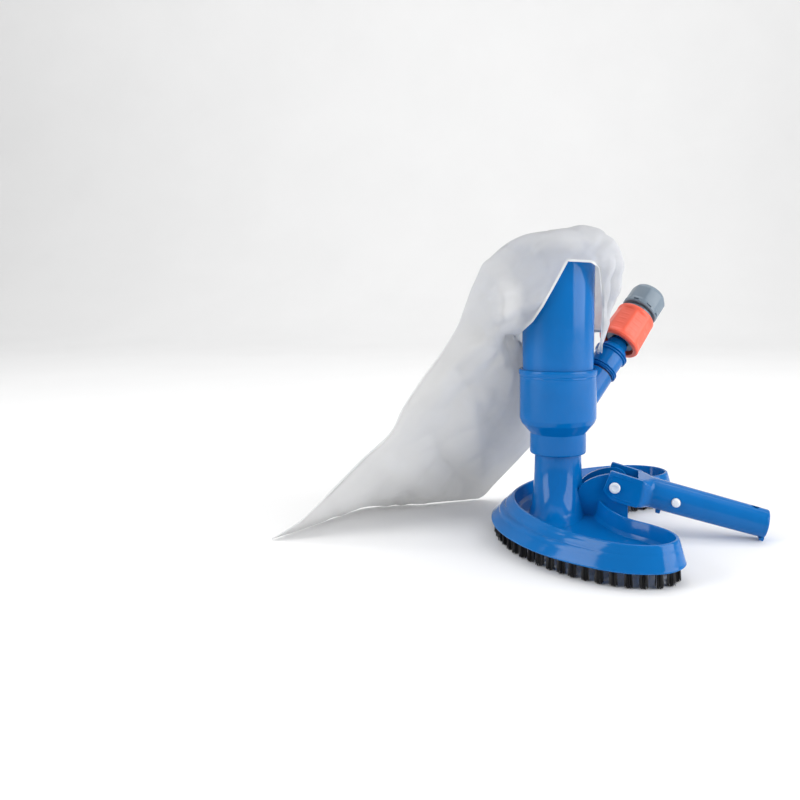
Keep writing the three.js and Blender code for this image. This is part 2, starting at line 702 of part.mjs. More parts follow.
function vacuumHead() {
  const head = new THREE.Group();
  add(head, "head_shell", "blue", headShell());
  for (let row = 0; row < ROWS; row++) add(head, `bristle_row_${row + 1}`, "black", bristleRow(row));
  add(head, "jet_body", "blue", jetBody());
  add(head, "nozzle_ring", "blue", nozzleRing());
  add(head, "discharge_tube", "blue", dischargeTube());
  add(head, "filter_bag", "cloth", filterBag());
  head.add(inlet());
  head.add(handleGroup());
  return head;
}

function inlet() {
  const branch = alongBranch();
  add(branch, "inlet_washer", "black", pipe(14, 10.9, BRANCH_END + 0.2, BRANCH_END + 1.5, 24));
  add(branch, "inlet_adapter", "blue", inletAdapter());
  add(branch, "nipple_o_ring", "black", ringSeal(7.75, 1.15, 138.4));
  add(branch, "connector_body", "grey", connectorBody());
  add(branch, "latch_claw_1", "grey", latchClaw(1));
  add(branch, "latch_claw_2", "grey", latchClaw(-1));
  add(branch, "sleeve_spring", "steel", sleeveSpring());
  add(branch, "release_sleeve", "coral", releaseSleeve());
  add(branch, "collet", "grey", collet());
  add(branch, "connector_nut", "grey", connectorNut());
  return branch;
}

function handleGroup() {
  const handle = new THREE.Group();
  handle.position.set(PIN.x, 0, PIN.z);
  handle.rotation.y = HANDLE_DROP;
  add(handle, "handle_tube", "blue", handleTube());
  add(handle, "handle_end_plug", "blue", handleEndPlug());
  add(handle, "hinge_pin", "white", hingePin());
  add(handle, "pin_retainer", "white", pinRetainer());
  add(handle, "snap_button_left", "white", snapButton(1));
  add(handle, "snap_button_right", "white", snapButton(-1));
  add(handle, "snap_spring", "steel", snapSpring());
  return handle;
}

// the origin goes to the middle of the base of the object's box
const assembly = vacuumHead();
assembly.updateMatrixWorld(true);
const box = new THREE.Box3().setFromObject(assembly, true);
const base = box.getCenter(new THREE.Vector3());
base.z = box.min.z;
assembly.position.sub(base);

const vacuum = new THREE.Group();
vacuum.add(assembly);
export default vacuum;
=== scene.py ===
"""The looks of a hand-held venturi pool vacuum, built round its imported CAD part.

Shapes are worked out in millimetres, in one of three places taken from the frame: UPRIGHT, about the axis
of the discharge tube; BRANCH, along the slanted inlet; and HANDLE, along the handle from its hinge pin.
"""

import json
import math
import random

import bmesh
import bpy
import numpy as np
from mathutils import Matrix, Vector


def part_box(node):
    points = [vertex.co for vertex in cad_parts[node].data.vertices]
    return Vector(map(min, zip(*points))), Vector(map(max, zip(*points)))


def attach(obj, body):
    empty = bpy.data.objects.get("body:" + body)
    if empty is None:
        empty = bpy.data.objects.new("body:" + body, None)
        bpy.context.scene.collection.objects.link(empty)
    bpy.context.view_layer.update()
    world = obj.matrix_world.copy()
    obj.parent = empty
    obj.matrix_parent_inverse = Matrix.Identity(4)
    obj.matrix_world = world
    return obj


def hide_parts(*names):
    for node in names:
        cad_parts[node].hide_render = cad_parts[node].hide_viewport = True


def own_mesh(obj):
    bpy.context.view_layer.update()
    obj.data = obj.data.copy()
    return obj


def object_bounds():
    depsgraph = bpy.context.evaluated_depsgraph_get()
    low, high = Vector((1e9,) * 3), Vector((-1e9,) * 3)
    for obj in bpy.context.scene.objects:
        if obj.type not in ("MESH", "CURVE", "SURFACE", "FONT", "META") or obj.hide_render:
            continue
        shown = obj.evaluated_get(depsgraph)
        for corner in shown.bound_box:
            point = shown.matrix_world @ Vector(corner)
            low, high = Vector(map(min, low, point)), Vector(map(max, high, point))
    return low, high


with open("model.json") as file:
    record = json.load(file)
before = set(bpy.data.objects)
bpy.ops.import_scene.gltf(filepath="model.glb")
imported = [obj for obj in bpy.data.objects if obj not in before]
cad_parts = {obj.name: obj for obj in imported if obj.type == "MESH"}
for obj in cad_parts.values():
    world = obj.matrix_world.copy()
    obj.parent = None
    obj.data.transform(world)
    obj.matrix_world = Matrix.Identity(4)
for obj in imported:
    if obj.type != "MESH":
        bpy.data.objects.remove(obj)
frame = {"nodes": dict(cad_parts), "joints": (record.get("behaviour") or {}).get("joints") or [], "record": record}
cad_low, cad_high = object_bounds()

# ---- places, from the frame

record = frame["record"]


def named(rows, name):
    return next(row for row in rows if row["name"] == name)


TO_METRES = Matrix.Scale(0.001, 4)
tube_low, tube_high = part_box("discharge_tube")
TUBE_AXIS = Vector(((tube_low.x + tube_high.x) / 2, (tube_low.y + tube_high.y) / 2, 0))
UPRIGHT = Matrix.Translation(TUBE_AXIS) @ TO_METRES

swivel = named(frame["joints"], "connector_swivel")
branch_way = Vector(swivel["axis"]).normalized()
branch_point = Vector(swivel["pos_m"])
branch_reach = (branch_point - TUBE_AXIS).to_2d().length / branch_way.to_2d().length
BRANCH = (
    Matrix.Translation(branch_point - branch_way * branch_reach)
    @ Vector((0, 0, 1)).rotation_difference(branch_way).to_matrix().to_4x4()
    @ TO_METRES
)

handle_way = Vector(named(record["mounts"], "pole_end")["axis"]).normalized()
handle_side = Vector((0, 1, 0))
HANDLE = (
    Matrix.Translation(Vector(named(frame["joints"], "handle_pivot")["pos_m"]))
    @ Matrix((handle_way, handle_side, handle_way.cross(handle_side))).transposed().to_4x4()
    @ TO_METRES
)

# ---- driving sizes, in millimetres

SKIRT_Z = 13  # underside of the head's skirt
SKIRT_EDGE = (8.4, 23)  # how far the skirt reaches out from the rim, plain and tiered
RIM_Z = 33.5
TRAY_Z = 19
CEILING_Z = 16.2  # of the chamber under the tray
NECK_R = 22.3
SPIGOT_R = 20.6
SPIGOT_Z = (73.4, 102)
WALL = 2.8
PIN = (54.6, 47)  # the hinge pin's x and z about the tube
PIN_HOLE_R = 3.4
PIN_GAP = 0.4
FINS = ((12.2, 15.8), (-15.8, -12.2))  # the two sides of each hinge fin
FIN_CROWN = (PIN[0] - 2, PIN[1] - 1.5)  # the middle of the fin's rounded nose
FIN_NOSE = (13.8, 12.8)  # how far the nose reaches ahead of the crown and above it
FIN_BACK = (33, 18.3)  # how far the fin's back runs behind the crown, and how far it rises
TUFT_INSET = 7  # from the skirt's edge
TUFT_PITCH = 11.6
ROWS = 6
SOCKET_R = 27
SOCKET_Z = (74, 94)
CUP_R = 37
CUP_WALL = 2.5
CUP_Z = (108, 154.5)
TUBE_FOOT_Z = 140.4
TUBE_R = (33.9, 36)  # at its foot and at its top
TUBE_WALL = 2.3
TUBE_TOP_Z = tube_high.z * 1000
FLANGE_R = 44
BRANCH_R = 15.2
BRANCH_BORE_R = 10.5
BRANCH_START = 30
BRANCH_END = 78
BARREL_R = 15.3
SLEEVE = (118, 158.5)
SLEEVE_R = (22.3, 20.6)  # at its mouth and at its far end
SPRING_SEATS = (143, 153)
NUT = (164, 191)
NUT_R = 19.4
HANDLE_R = (14, 12.9)  # at the yoke and at the far end
HANDLE_END = 138
EAR = (16.5, 20.6)  # the inner and the outer side of an ear
BUTTON_AT = 57
BUTTON_R = 4
CROSS_HOLE = (128, 3.9)  # its place along the handle, and its radius
THROUGH = 30  # how far a cutter reaches to each side to go right through

# ---- materials


class Nodes:
    """A material's node tree, with short calls to add and join nodes."""

    def __init__(self, name):
        self.material = bpy.data.materials.new(name)
        self.material.use_nodes = True
        self.tree = self.material.node_tree
        self.tree.nodes.clear()
        self.output = self.add("ShaderNodeOutputMaterial")
        self.place = self.add("ShaderNodeTexCoord").outputs["Object"]

    def add(self, kind, **values):
        node = self.tree.nodes.new(kind)
        for key, value in values.items():
            if hasattr(node, key):
                setattr(node, key, value)
            else:
                node.inputs[key.replace("_", " ").capitalize()].default_value = value
        return node

    def join(self, source, target):
        self.tree.links.new(source, target)

    def principled(self, **values):
        shader = self.add("ShaderNodeBsdfPrincipled", **values)
        self.join(shader.outputs[0], self.output.inputs["Surface"])
        return shader

    def noise(self, scale, detail=3.0):
        node = self.add("ShaderNodeTexNoise", Scale=scale, Detail=detail)
        self.join(self.place, node.inputs["Vector"])
        return node.outputs["Fac"]

    def ramp(self, source, stops):
        node = self.add("ShaderNodeValToRGB")
        elements = node.color_ramp.elements
        for element, (position, colour) in zip(elements, stops):
            element.position = position
            element.color = (*colour, 1)
        self.join(source, node.inputs["Fac"])
        return node.outputs["Color"]

    def bump(self, source, depth, strength, below=None):
        node = self.add("ShaderNodeBump", Strength=strength, Distance=depth)
        self.join(source, node.inputs["Height"])
        if below is not None:
            self.join(below, node.inputs["Normal"])
        return node.outputs["Normal"]


def shade(colour, factor):
    return tuple(min(1.0, c * factor) for c in colour)


def moulded(name, colour, roughness, grain, coat=0.0, drift=0.07, gloss=0.5):
    """Moulded plastic: slow drifts of shade, a faint waviness of the mould and a fine surface grain."""
    n = Nodes(name)
    shader = n.principled()
    shades = [(0.3, shade(colour, 1 - drift)), (0.7, shade(colour, 1 + drift))]
    n.join(n.ramp(n.noise(22), shades), shader.inputs["Base Color"])
    low, high = roughness
    n.join(n.ramp(n.noise(160), [(0.35, (low,) * 3), (0.65, (high,) * 3)]), shader.inputs["Roughness"])
    wavy = n.bump(n.noise(34, 1.0), 0.0006, 0.25)
    n.join(n.bump(n.noise(1900, 2.0), 0.00005, grain, wavy), shader.inputs["Normal"])
    shader.inputs["Specular IOR Level"].default_value = gloss
    shader.inputs["Coat Weight"].default_value = coat
    shader.inputs["Coat Roughness"].default_value = 0.08
    return n.material


def brushed_steel(name, colour):
    n = Nodes(name)
    shader = n.principled(Metallic=1)
    n.join(n.ramp(n.noise(300), [(0.3, shade(colour, 0.85)), (0.7, colour)]), shader.inputs["Base Color"])
    n.join(n.ramp(n.noise(900), [(0.3, (0.22,) * 3), (0.7, (0.36,) * 3)]), shader.inputs["Roughness"])
    return n.material


def woven_mesh(name, colour, threads_per_metre, clear):
    """Fine white filter cloth: crossing threads in the cloth's own directions, with light coming through."""
    n = Nodes(name)
    uv = n.add("ShaderNodeUVMap").outputs["UV"]
    threads = []
    for direction in ("X", "Y"):
        wave = n.add("ShaderNodeTexWave", bands_direction=direction, Scale=threads_per_metre, Distortion=0.4)
        n.join(uv, wave.inputs["Vector"])
        threads.append(wave.outputs["Fac"])
    weave = n.add("ShaderNodeMath", operation="MAXIMUM")
    n.join(threads[0], weave.inputs[0])
    n.join(threads[1], weave.inputs[1])
    crumple = n.bump(n.noise(75, 4.0), 0.0016, 0.35)
    normal = n.bump(weave.outputs[0], 0.00012, 0.5, crumple)
    tint = n.ramp(n.noise(14, 2.0), [(0.3, shade(colour, 0.95)), (0.7, colour)])
    cloth = n.add("ShaderNodeBsdfPrincipled", Roughness=0.62)
    cloth.inputs["Sheen Weight"].default_value = 0.15
    through = n.add("ShaderNodeBsdfTranslucent")
    gap = n.add("ShaderNodeBsdfTransparent")
    for shader in (cloth, through):
        n.join(normal, shader.inputs["Normal"])
    n.join(tint, cloth.inputs["Base Color"])
    n.join(tint, through.inputs["Color"])
    body = n.add("ShaderNodeMixShader")
    body.inputs[0].default_value = 0.55
    n.join(cloth.outputs[0], body.inputs[1])
    n.join(through.outputs[0], body.inputs[2])
    holes = n.add("ShaderNodeMixShader")
    holes.inputs[0].default_value = clear
    n.join(body.outputs[0], holes.inputs[1])
    n.join(gap.outputs[0], holes.inputs[2])
    n.join(holes.outputs[0], n.output.inputs["Surface"])
    return n.material


MATERIALS = {
    "blue_plastic": moulded("blue_plastic", (0.001, 0.135, 0.43), (0.09, 0.14), 0.03, gloss=0.24),
    "bristle": moulded("bristle", (0.010, 0.010, 0.012), (0.35, 0.55), 0.1, drift=0.3),
    "black_rubber": moulded("black_rubber", (0.014, 0.014, 0.015), (0.5, 0.65), 0.2),
    "coral_plastic": moulded("coral_plastic", (0.90, 0.118, 0.062), (0.34, 0.46), 0.1),
    "grey_plastic": moulded("grey_plastic", (0.17, 0.225, 0.28), (0.3, 0.42), 0.1),
    "white_plastic": moulded("white_plastic", (0.76, 0.80, 0.84), (0.25, 0.35), 0.05, drift=0.03),
    "spring_steel": brushed_steel("spring_steel", (0.62, 0.63, 0.65)),
    "bag_mesh": woven_mesh("bag_mesh", (0.90, 0.90, 0.90), 850, 0.2),
}
STITCH = moulded("stitch_thread", (0.70, 0.705, 0.71), (0.6, 0.8), 0.2, drift=0.05)

# ---- shapes


def smoothstep(x, low, high):
    t = min(max((x - low) / (high - low), 0), 1)
    return t * t * (3 - 2 * t)


def softened(profile, radius=0.7, steps=3, closed=True):
    """The profile with each of its corners cut back into a small curve."""
    points = [np.array(p, float) for p in profile]
    out = []
    for i, p in enumerate(points):
        at_end = not closed and i in (0, len(points) - 1)
        if at_end or abs(p[0]) < 1e-6:
            out.append(tuple(p))
            continue
        a, b = points[i - 1] - p, points[(i + 1) % len(points)] - p
        la, lb = np.linalg.norm(a), np.linalg.norm(b)
        start = p + a / la * min(radius, 0.45 * la)
        end = p + b / lb * min(radius, 0.45 * lb)
        for k in range(steps + 1):
            t = k / steps
            out.append(tuple((1 - t) ** 2 * start + 2 * t * (1 - t) * p + t * t * end))
    return out


def rings_shape(rings, capped=True):
    """Points and faces of a skin through rings of equal length, capped or with its last ring on its first."""
    count, sides = len(rings), len(rings[0])
    points = [tuple(p) for ring in rings for p in ring]
    faces = []
    for k in range(count - 1 if capped else count):
        n = (k + 1) % count
        for i in range(sides):
            j = (i + 1) % sides
            faces.append((k * sides + i, k * sides + j, n * sides + j, n * sides + i))
    if capped:
        faces.append(tuple(range(sides))[::-1])
        faces.append(tuple((count - 1) * sides + i for i in range(sides)))
    return points, faces


def angles(sides):
    return [2 * math.pi * i / sides for i in range(sides)]


def turned(profile, segments=96, radius=None):
    """A closed [radius, z] profile turned about Z. radius(base radius, angle, z) may reshape it."""
    rings = []
    for r, z in profile:
        ring = []
        for a in angles(segments):
            here = radius(r, a, z) if radius else r
            ring.append((here * math.cos(a), here * math.sin(a), z))
        rings.append(ring)
    return rings_shape(rings, capped=False)


def prism(outline, low, high, axis="z"):
    """A flat outline pushed from low to high along an axis; the outline's two numbers are the other axes."""
    def at(p, level):
        return {"z": (p[0], p[1], level), "y": (p[0], level, p[1]), "x": (level, p[0], p[1])}[axis]
    ends = [[at(p, level) for p in outline] for level in (low, high)]
    return rings_shape(ends)


def circle(r, sides=48, x=0, y=0):
    return [(x + r * math.cos(a), y + r * math.sin(a)) for a in angles(sides)]


def linked(name, data):
    """A new object that holds the data, put in the scene."""
    obj = bpy.data.objects.new(name, data)
    bpy.context.scene.collection.objects.link(obj)
    return obj


BEVEL_FROM = 0.6  # radians between the faces of an edge that is bevelled


def work_object(shape, bevel=0.0):
    """An object in millimetres, not yet a piece, with merged points, outward faces and bevelled edges."""
    mesh = bpy.data.meshes.new("work")
    mesh.from_pydata([tuple(p) for p in shape[0]], [], shape[1])
    bm = bmesh.new()
    bm.from_mesh(mesh)
    bmesh.ops.remove_doubles(bm, verts=bm.verts, dist=1e-4)
    bmesh.ops.dissolve_degenerate(bm, edges=bm.edges, dist=1e-4)
    if bevel:
        sharp = [e for e in bm.edges if len(e.link_faces) == 2 and e.calc_face_angle() > BEVEL_FROM]
        bmesh.ops.bevel(bm, geom=sharp, offset=bevel, segments=2, profile=0.5, affect="EDGES")
    bmesh.ops.recalc_face_normals(bm, faces=bm.faces)
    bm.to_mesh(mesh)
    bm.free()
    return linked("work", mesh)


def bake(obj):
    graph = bpy.context.evaluated_depsgraph_get()
    mesh = bpy.data.meshes.new_from_object(obj.evaluated_get(graph))
    obj.modifiers.clear()
    obj.data = mesh


def cut_or_join(obj, shapes, operation, bevel=0.0):
    for shape in shapes:
        tool = work_object(shape, bevel)
        modifier = obj.modifiers.new("joined", "BOOLEAN")
        modifier.operation = operation
        modifier.solver = "EXACT"
        modifier.object = tool
        bake(obj)
        bpy.data.objects.remove(tool)


def piece(obj, name, place, body, slot, nodes=(), sharp=38, material=None):
    """Turns a work object, or a shape, into a finished piece that rides on a body."""
    if isinstance(obj, tuple):
        obj = work_object(obj)
    obj.name = name
    obj.data.name = name
    obj.data.transform(place)
    obj.data.polygons.foreach_set("use_smooth", [True] * len(obj.data.polygons))
    obj.data.set_sharp_from_angle(angle=math.radians(sharp))
    obj.data.materials.clear()
    obj.data.materials.append(material or MATERIALS[slot])
    weighted = obj.modifiers.new("even shading", "WEIGHTED_NORMAL")
    weighted.keep_sharp = True
    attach(obj, body)
    if nodes:
        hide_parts(*nodes)
    return obj


# ---- crescent outline

# Half of the rim's inner edge, from the middle of the convex side round a lobe to the concave middle.
HALF_RIM = [
    (-41.5, 0), (-38.5, 22), (-30, 47), (-15, 73), (6, 99), (32, 120), (56, 132.5), (76, 136),
    (94.5, 131), (104.5, 116.5), (101, 101), (87.5, 86), (65, 68.5), (50.5, 47), (41, 24), (38, 0),
]


def through(points, closed=False, per_span=16):
    """A centripetal Catmull-Rom curve through the points."""
    p = np.array(points, float)
    n = len(p)
    spans = range(n if closed else n - 1)
    out = []
    for i in spans:
        if closed:
            a, b, c, d = p[i - 1], p[i], p[(i + 1) % n], p[(i + 2) % n]
        else:
            b, c = p[i], p[i + 1]
            a = p[i - 1] if i else 2 * b - c
            d = p[i + 2] if i + 2 < n else 2 * c - b
        t1 = max(np.linalg.norm(b - a), 1e-6) ** 0.5
        t2 = t1 + max(np.linalg.norm(c - b), 1e-6) ** 0.5
        t3 = t2 + max(np.linalg.norm(d - c), 1e-6) ** 0.5
        for k in range(per_span):
            t = t1 + (t2 - t1) * k / per_span
            ab = a + (b - a) * t / t1
            bc = b + (c - b) * (t - t1) / (t2 - t1)
            cd = c + (d - c) * (t - t2) / (t3 - t2)
            abc = ab + (bc - ab) * t / t2
            bcd = bc + (cd - bc) * (t - t1) / (t3 - t1)
            out.append(abc + (bcd - abc) * (t - t1) / (t2 - t1))
    if not closed:
        out.append(p[-1])
    return np.array(out)


def evenly(line, count, closed=False):
    """count points at even distances along a line of points."""
    if closed:
        line = np.vstack([line, line[:1]])
    far = np.concatenate([[0], np.cumsum(np.linalg.norm(np.diff(line, axis=0), axis=1))])
    at = np.linspace(0, far[-1], count + 1)[:-1] if closed else np.linspace(0, far[-1], count)
    return np.stack([np.interp(at, far, line[:, k]) for k in range(line.shape[1])], 1)


OUTLINE_POINTS = 260
rim = [(x, -y) for x, y in HALF_RIM] + HALF_RIM[1:-1][::-1]
outline = evenly(through(rim, closed=True), OUTLINE_POINTS, closed=True)
along = np.roll(outline, -1, 0) - np.roll(outline, 1, 0)
along /= np.linalg.norm(along, axis=1)[:, None]
outward = np.stack([along[:, 1], -along[:, 0]], 1)


def tier_weights():
    """1 where the skirt has its tiers, on the convex side, fading to 0 towards the lobes."""
    weights = []
    for point, out in zip(outline, outward):
        convex = out[0] < 0.35 or (abs(out[1]) > 0.75 and point[1] * out[1] > 0)
        weights.append(1 - smoothstep(point[0], -60, 80) if convex else 0)
    spread = 9  # how many points to each side the weights are blurred over
    kernel = np.hanning(2 * spread + 1)
    padded = np.concatenate([weights[-spread:], weights, weights[:spread]])
    return np.convolve(padded, kernel / kernel.sum(), "valid")


tier = tier_weights()


def ring_at(plain, tiered, z_plain, z_tiered):
    offset = plain + (tiered - plain) * tier
    z = z_plain + (z_tiered - z_plain) * tier
    return [(*(p + o * d), h) for p, o, d, h in zip(outline, outward, offset, z)]


# ---- head

# the skirt's section, [distance out from the rim's inner edge, z], where it is plain and where it has tiers
TRAY_SIDE = [(-9, TRAY_Z), (-4.2, TRAY_Z), (-2.3, 22), (0, 32.8), (0.5, RIM_Z), (2.3, RIM_Z), (2.9, 32.8)]
CHAMBER_SIDE = [(-2.4, SKIRT_Z), (-2.4, 14.5), (-4, CEILING_Z), (-9, CEILING_Z)]
PLAIN_SECTION = [
    *TRAY_SIDE,
    (3.4, 31.4), (3.8, 29.9), (4.3, 28.4), (4.8, 26.2), (5.2, 25), (5.7, 23.4), (6.2, 21.6), (6.8, 19.4),
    (7.9, 15.2), (SKIRT_EDGE[0], 14.4), (SKIRT_EDGE[0], 13.4), (SKIRT_EDGE[0] - 0.5, SKIRT_Z),
    *CHAMBER_SIDE,
]
TIERED_SECTION = [
    *TRAY_SIDE,
    (4.4, 31.6), (7.6, 28.9), (8.7, 27.5), (9.1, 25.3),
    (12.9, 24.1), (14.6, 22.7), (15.2, 20.5), (17.3, 19.2),
    (22, 15.4), (22.9, 14.5), (SKIRT_EDGE[1], 13.4), (SKIRT_EDGE[1] - 0.5, SKIRT_Z),
    *CHAMBER_SIDE,
]
# [z, half width across, half width along the crescent] of the neck
NECK_FLARE = [
    (CEILING_Z + 0.6, 27.5, 66), (19.2, 27.2, 60), (21.5, 26.4, 52), (26, 25.4, 42), (33, 24.4, 34.5),
    (44, 23.4, 27.8), (58, 22.7, 23.8), (SPIGOT_Z[0], NECK_R, NECK_R),
]


def oval_rings(rows, wall=0.0, sides=96):
    """Oval rings at a smooth run of rows of [z, radius in x, radius in y], each drawn in by the wall."""
    return [
        [((rx - wall) * math.cos(a), (ry - wall) * math.sin(a), z) for a in angles(sides)]
        for z, rx, ry in through(rows, per_span=5)
    ]


def fin_outline():
    """The side view of a hinge fin: an arch that rises from the tray and ends in a vertical front edge."""
    x, z = FIN_CROWN
    ahead, above = FIN_NOSE
    behind, rise = FIN_BACK
    steps = 15
    back = []
    for k in range(steps):
        share = 1 - k / steps
        back.append((x - behind * share, z + above - rise + rise * (1 - share ** 1.7) ** 0.59))
    nose = [(x + ahead * math.sin(a), z + above * math.cos(a)) for a in np.linspace(0.15, math.pi / 2, 10)]
    front_foot = (x + ahead, SKIRT_Z + 0.6)
    foot_in_neck = (NECK_R - 2.3, SKIRT_Z + 4)
    return [*back, *nose, front_foot, foot_in_neck]


def head_shell():
    plain = softened(PLAIN_SECTION, 0.8, 3, closed=False)
    tiered = softened(TIERED_SECTION, 0.8, 3, closed=False)
    rings = [ring_at(p[0], q[0], p[1], q[1]) for p, q in zip(plain, tiered)]
    head = work_object(rings_shape(rings))
    neck = rings_shape(oval_rings(NECK_FLARE))
    spigot = prism(circle(SPIGOT_R, 96), SPIGOT_Z[0] - 3, SPIGOT_Z[1])
    cut_or_join(head, [neck, spigot], "UNION")
    cut_or_join(head, [prism(fin_outline(), *sides, axis="y") for sides in FINS], "UNION", bevel=0.5)
    flare = [(CEILING_Z - 3, 26.5, 60), *NECK_FLARE[1:-1], (SPIGOT_Z[0] - 3, SPIGOT_R, SPIGOT_R),
             (SPIGOT_Z[1] + 2, SPIGOT_R, SPIGOT_R)]
    bore = rings_shape(oval_rings(flare, WALL))
    pin_hole = prism(circle(PIN_HOLE_R, 32, *PIN), -THROUGH, THROUGH, axis="y")
    cut_or_join(head, [bore, pin_hole], "DIFFERENCE")
    piece(head, "head_shell_moulding", UPRIGHT, "vacuum", "blue_plastic", ["head_shell"], sharp=32)


def bristle_rows(filaments=64):
    """Tufts of fine nylon filaments that spread a little, six stretches round the skirt."""
    edge = ring_at(*SKIRT_EDGE, 0, 0)
    path = np.array(edge)[:, :2] - outward * TUFT_INSET
    closed = np.vstack([path, path[:1]])
    length = np.linalg.norm(np.diff(closed, axis=0), axis=1).sum()
    per_row = round(length / TUFT_PITCH / ROWS)
    roots = evenly(path, per_row * ROWS, closed=True)
    rng = random.Random(11)
    for row in range(ROWS):
        points, faces = [], []
        for root in roots[row * per_row:(row + 1) * per_row]:
            lean = (rng.uniform(-0.5, 0.5), rng.uniform(-0.5, 0.5))
            for _ in range(filaments):
                add_filament(points, faces, root, lean, rng)
        piece((points, faces), f"bristle_tufts_{row + 1}", UPRIGHT, "vacuum", "bristle",
              [f"bristle_row_{row + 1}"], sharp=80)


def add_filament(points, faces, root, lean, rng):
    """One three-sided tapering filament from the skirt to the floor."""
    angle = rng.uniform(0, 2 * math.pi)
    share = math.sqrt(rng.random())
    way = (math.cos(angle), math.sin(angle))
    bottom = rng.uniform(0.05, 1.1) + 0.9 * share ** 3
    # [z, how far the tuft reaches out, the filament's radius]
    levels = [(SKIRT_Z + 1, 2.8, 0.40), (SKIRT_Z * 0.55, 3.2, 0.36), (bottom, 3.8, 0.26)]
    first = len(points)
    for step, (z, reach, thick) in enumerate(levels):
        x = root[0] + way[0] * share * reach + lean[0] * step / 2
        y = root[1] + way[1] * share * reach + lean[1] * step / 2
        for corner in range(3):
            a = angle + corner * 2 * math.pi / 3
            points.append((x + thick * math.cos(a), y + thick * math.sin(a), z))
    for step in range(len(levels) - 1):
        for corner in range(3):
            a, b = first + step * 3 + corner, first + step * 3 + (corner + 1) % 3
            faces.append((a, b, b + 3, a + 3))
    faces.append((first + 2, first + 1, first))
    last = first + 3 * (len(levels) - 1)
    faces.append((last, last + 1, last + 2))


# ---- jet body and discharge tube


def jet_body():
    """A socket on the spigot, a cup with a bead and a collar round its mouth, and the slanted inlet."""
    foot, shoulder = SOCKET_Z
    low, top = CUP_Z
    outer = [
        (0, foot), (SOCKET_R - 0.8, foot), (SOCKET_R, foot + 1), (SOCKET_R, shoulder - 0.6),
        (SOCKET_R + 1.2, shoulder + 0.6), (CUP_R - 1.6, low - 5), (CUP_R, low - 0.5),
        (CUP_R, top - 8), (CUP_R + 0.5, top - 7.4), (CUP_R, top - 6.4),
        (CUP_R + 0.9, top - 5), (CUP_R + 0.9, top - 1.2), (CUP_R, top), (0, top),
    ]
    fit, stop = SPIGOT_R + 0.4, SPIGOT_Z[1] + 0.4
    throat, inside = fit - WALL, CUP_R - CUP_WALL
    cavity = [
        (0, foot - 2), (fit, foot - 2), (fit, stop), (throat, stop), (throat, stop + 2.6),
        (SPIGOT_R + 1, stop + 2.6), (inside, low + 5), (inside, top + 2), (0, top + 2),
    ]
    body = work_object(turned(softened(outer, 0.9)))
    to_branch = UPRIGHT.inverted() @ BRANCH

    def branch(r, start, end, soft):
        points, faces = turned(softened([(0, start), (r, start), (r, end), (0, end)], soft), 72)
        return [to_branch @ Vector(p) for p in points], faces

    cut_or_join(body, [branch(BRANCH_R, BRANCH_START, BRANCH_END, 1.0)], "UNION")
    bore = branch(BRANCH_BORE_R, BRANCH_START, BRANCH_END + 2, 0.01)
    cut_or_join(body, [turned(cavity), bore], "DIFFERENCE")
    piece(body, "jet_body_moulding", UPRIGHT, "vacuum", "blue_plastic", ["jet_body"], sharp=32)


def discharge_tube():
    """A tube that widens a little to its top, where a flange turns out."""
    foot, top = TUBE_R
    z = TUBE_TOP_Z
    profile = [
        (foot - TUBE_WALL, TUBE_FOOT_Z), (foot, TUBE_FOOT_Z), (top, z - 9), (top + 0.5, z - 6),
        (top + 2.6, z - 4), (FLANGE_R - 0.8, z - 3), (FLANGE_R, z - 1.6), (FLANGE_R - 0.8, z - 0.1),
        (top, z - 0.1), (top - TUBE_WALL + 0.5, z - 1), (top - TUBE_WALL, z - 4),
    ]
    piece(turned(softened(profile, 0.8), 128), "discharge_tube_moulding", UPRIGHT, "vacuum",
          "blue_plastic", ["discharge_tube"], sharp=50)


# ---- inlet and hose connector


def band(at, low, high, width=2.2):
    """One raised band of a barrel's profile, with the barrel's radius on each side."""
    return [(low, at - width / 2), (high, at - width / 4), (high, at + width / 4), (low, at + width / 2)]


def inlet_adapter():
    """A barrel with raised bands that steps down to the nipple and the groove of its O-ring."""
    bore = 4.6
    foot, collar = BRANCH_END - 8, BRANCH_END + 1.8
    spigot = BRANCH_BORE_R - 0.4
    profile = [
        (bore, foot), (spigot, foot), (spigot, collar), (BARREL_R + 0.1, collar),
        *band(BRANCH_END + 3.6, BARREL_R, 17, 2), *band(BRANCH_END + 6.2, BARREL_R, 17, 2),
        (BARREL_R - 0.2, BRANCH_END + 8), (BARREL_R, 99.5),
        *band(102, BARREL_R, 17.2), *band(104.8, BARREL_R + 0.2, 17.4),
        (14.2, 108.6), (13.6, 110.4), (10.9, 113), (10.8, 118.5), (8, 121), (7.2, 125), (7.2, 132.6),
        (8.4, 133.6), (8.4, 136.6), (6.4, 136.6), (6.4, 140.2), (8.4, 140.2), (7.6, 143), (bore, 143),
    ]
    piece(turned(softened(profile, 0.45, 2), 80), "inlet_adapter_moulding", BRANCH, "vacuum",
          "blue_plastic", ["inlet_adapter"])


PANELS = 8
SQUARE_PITCH = 6.2
SQUARE_DEPTH = 0.14
SLOT_DEPTH = 1.3


def panel_place(angle):
    """Where an angle falls in its panel: -1 and 1 at the panel's edges, 0 in its middle."""
    width = 2 * math.pi / PANELS
    return ((angle % width) / width) * 2 - 1


def faceted(r, angle, amount):
    """The radius of a round that is flattened by amount into PANELS soft-edged panels."""
    half = math.pi / PANELS
    flat = r * math.cos(half) / math.cos(panel_place(angle) * half)
    rounded = min(flat, r * 0.988)
    return r + (rounded - r) * amount


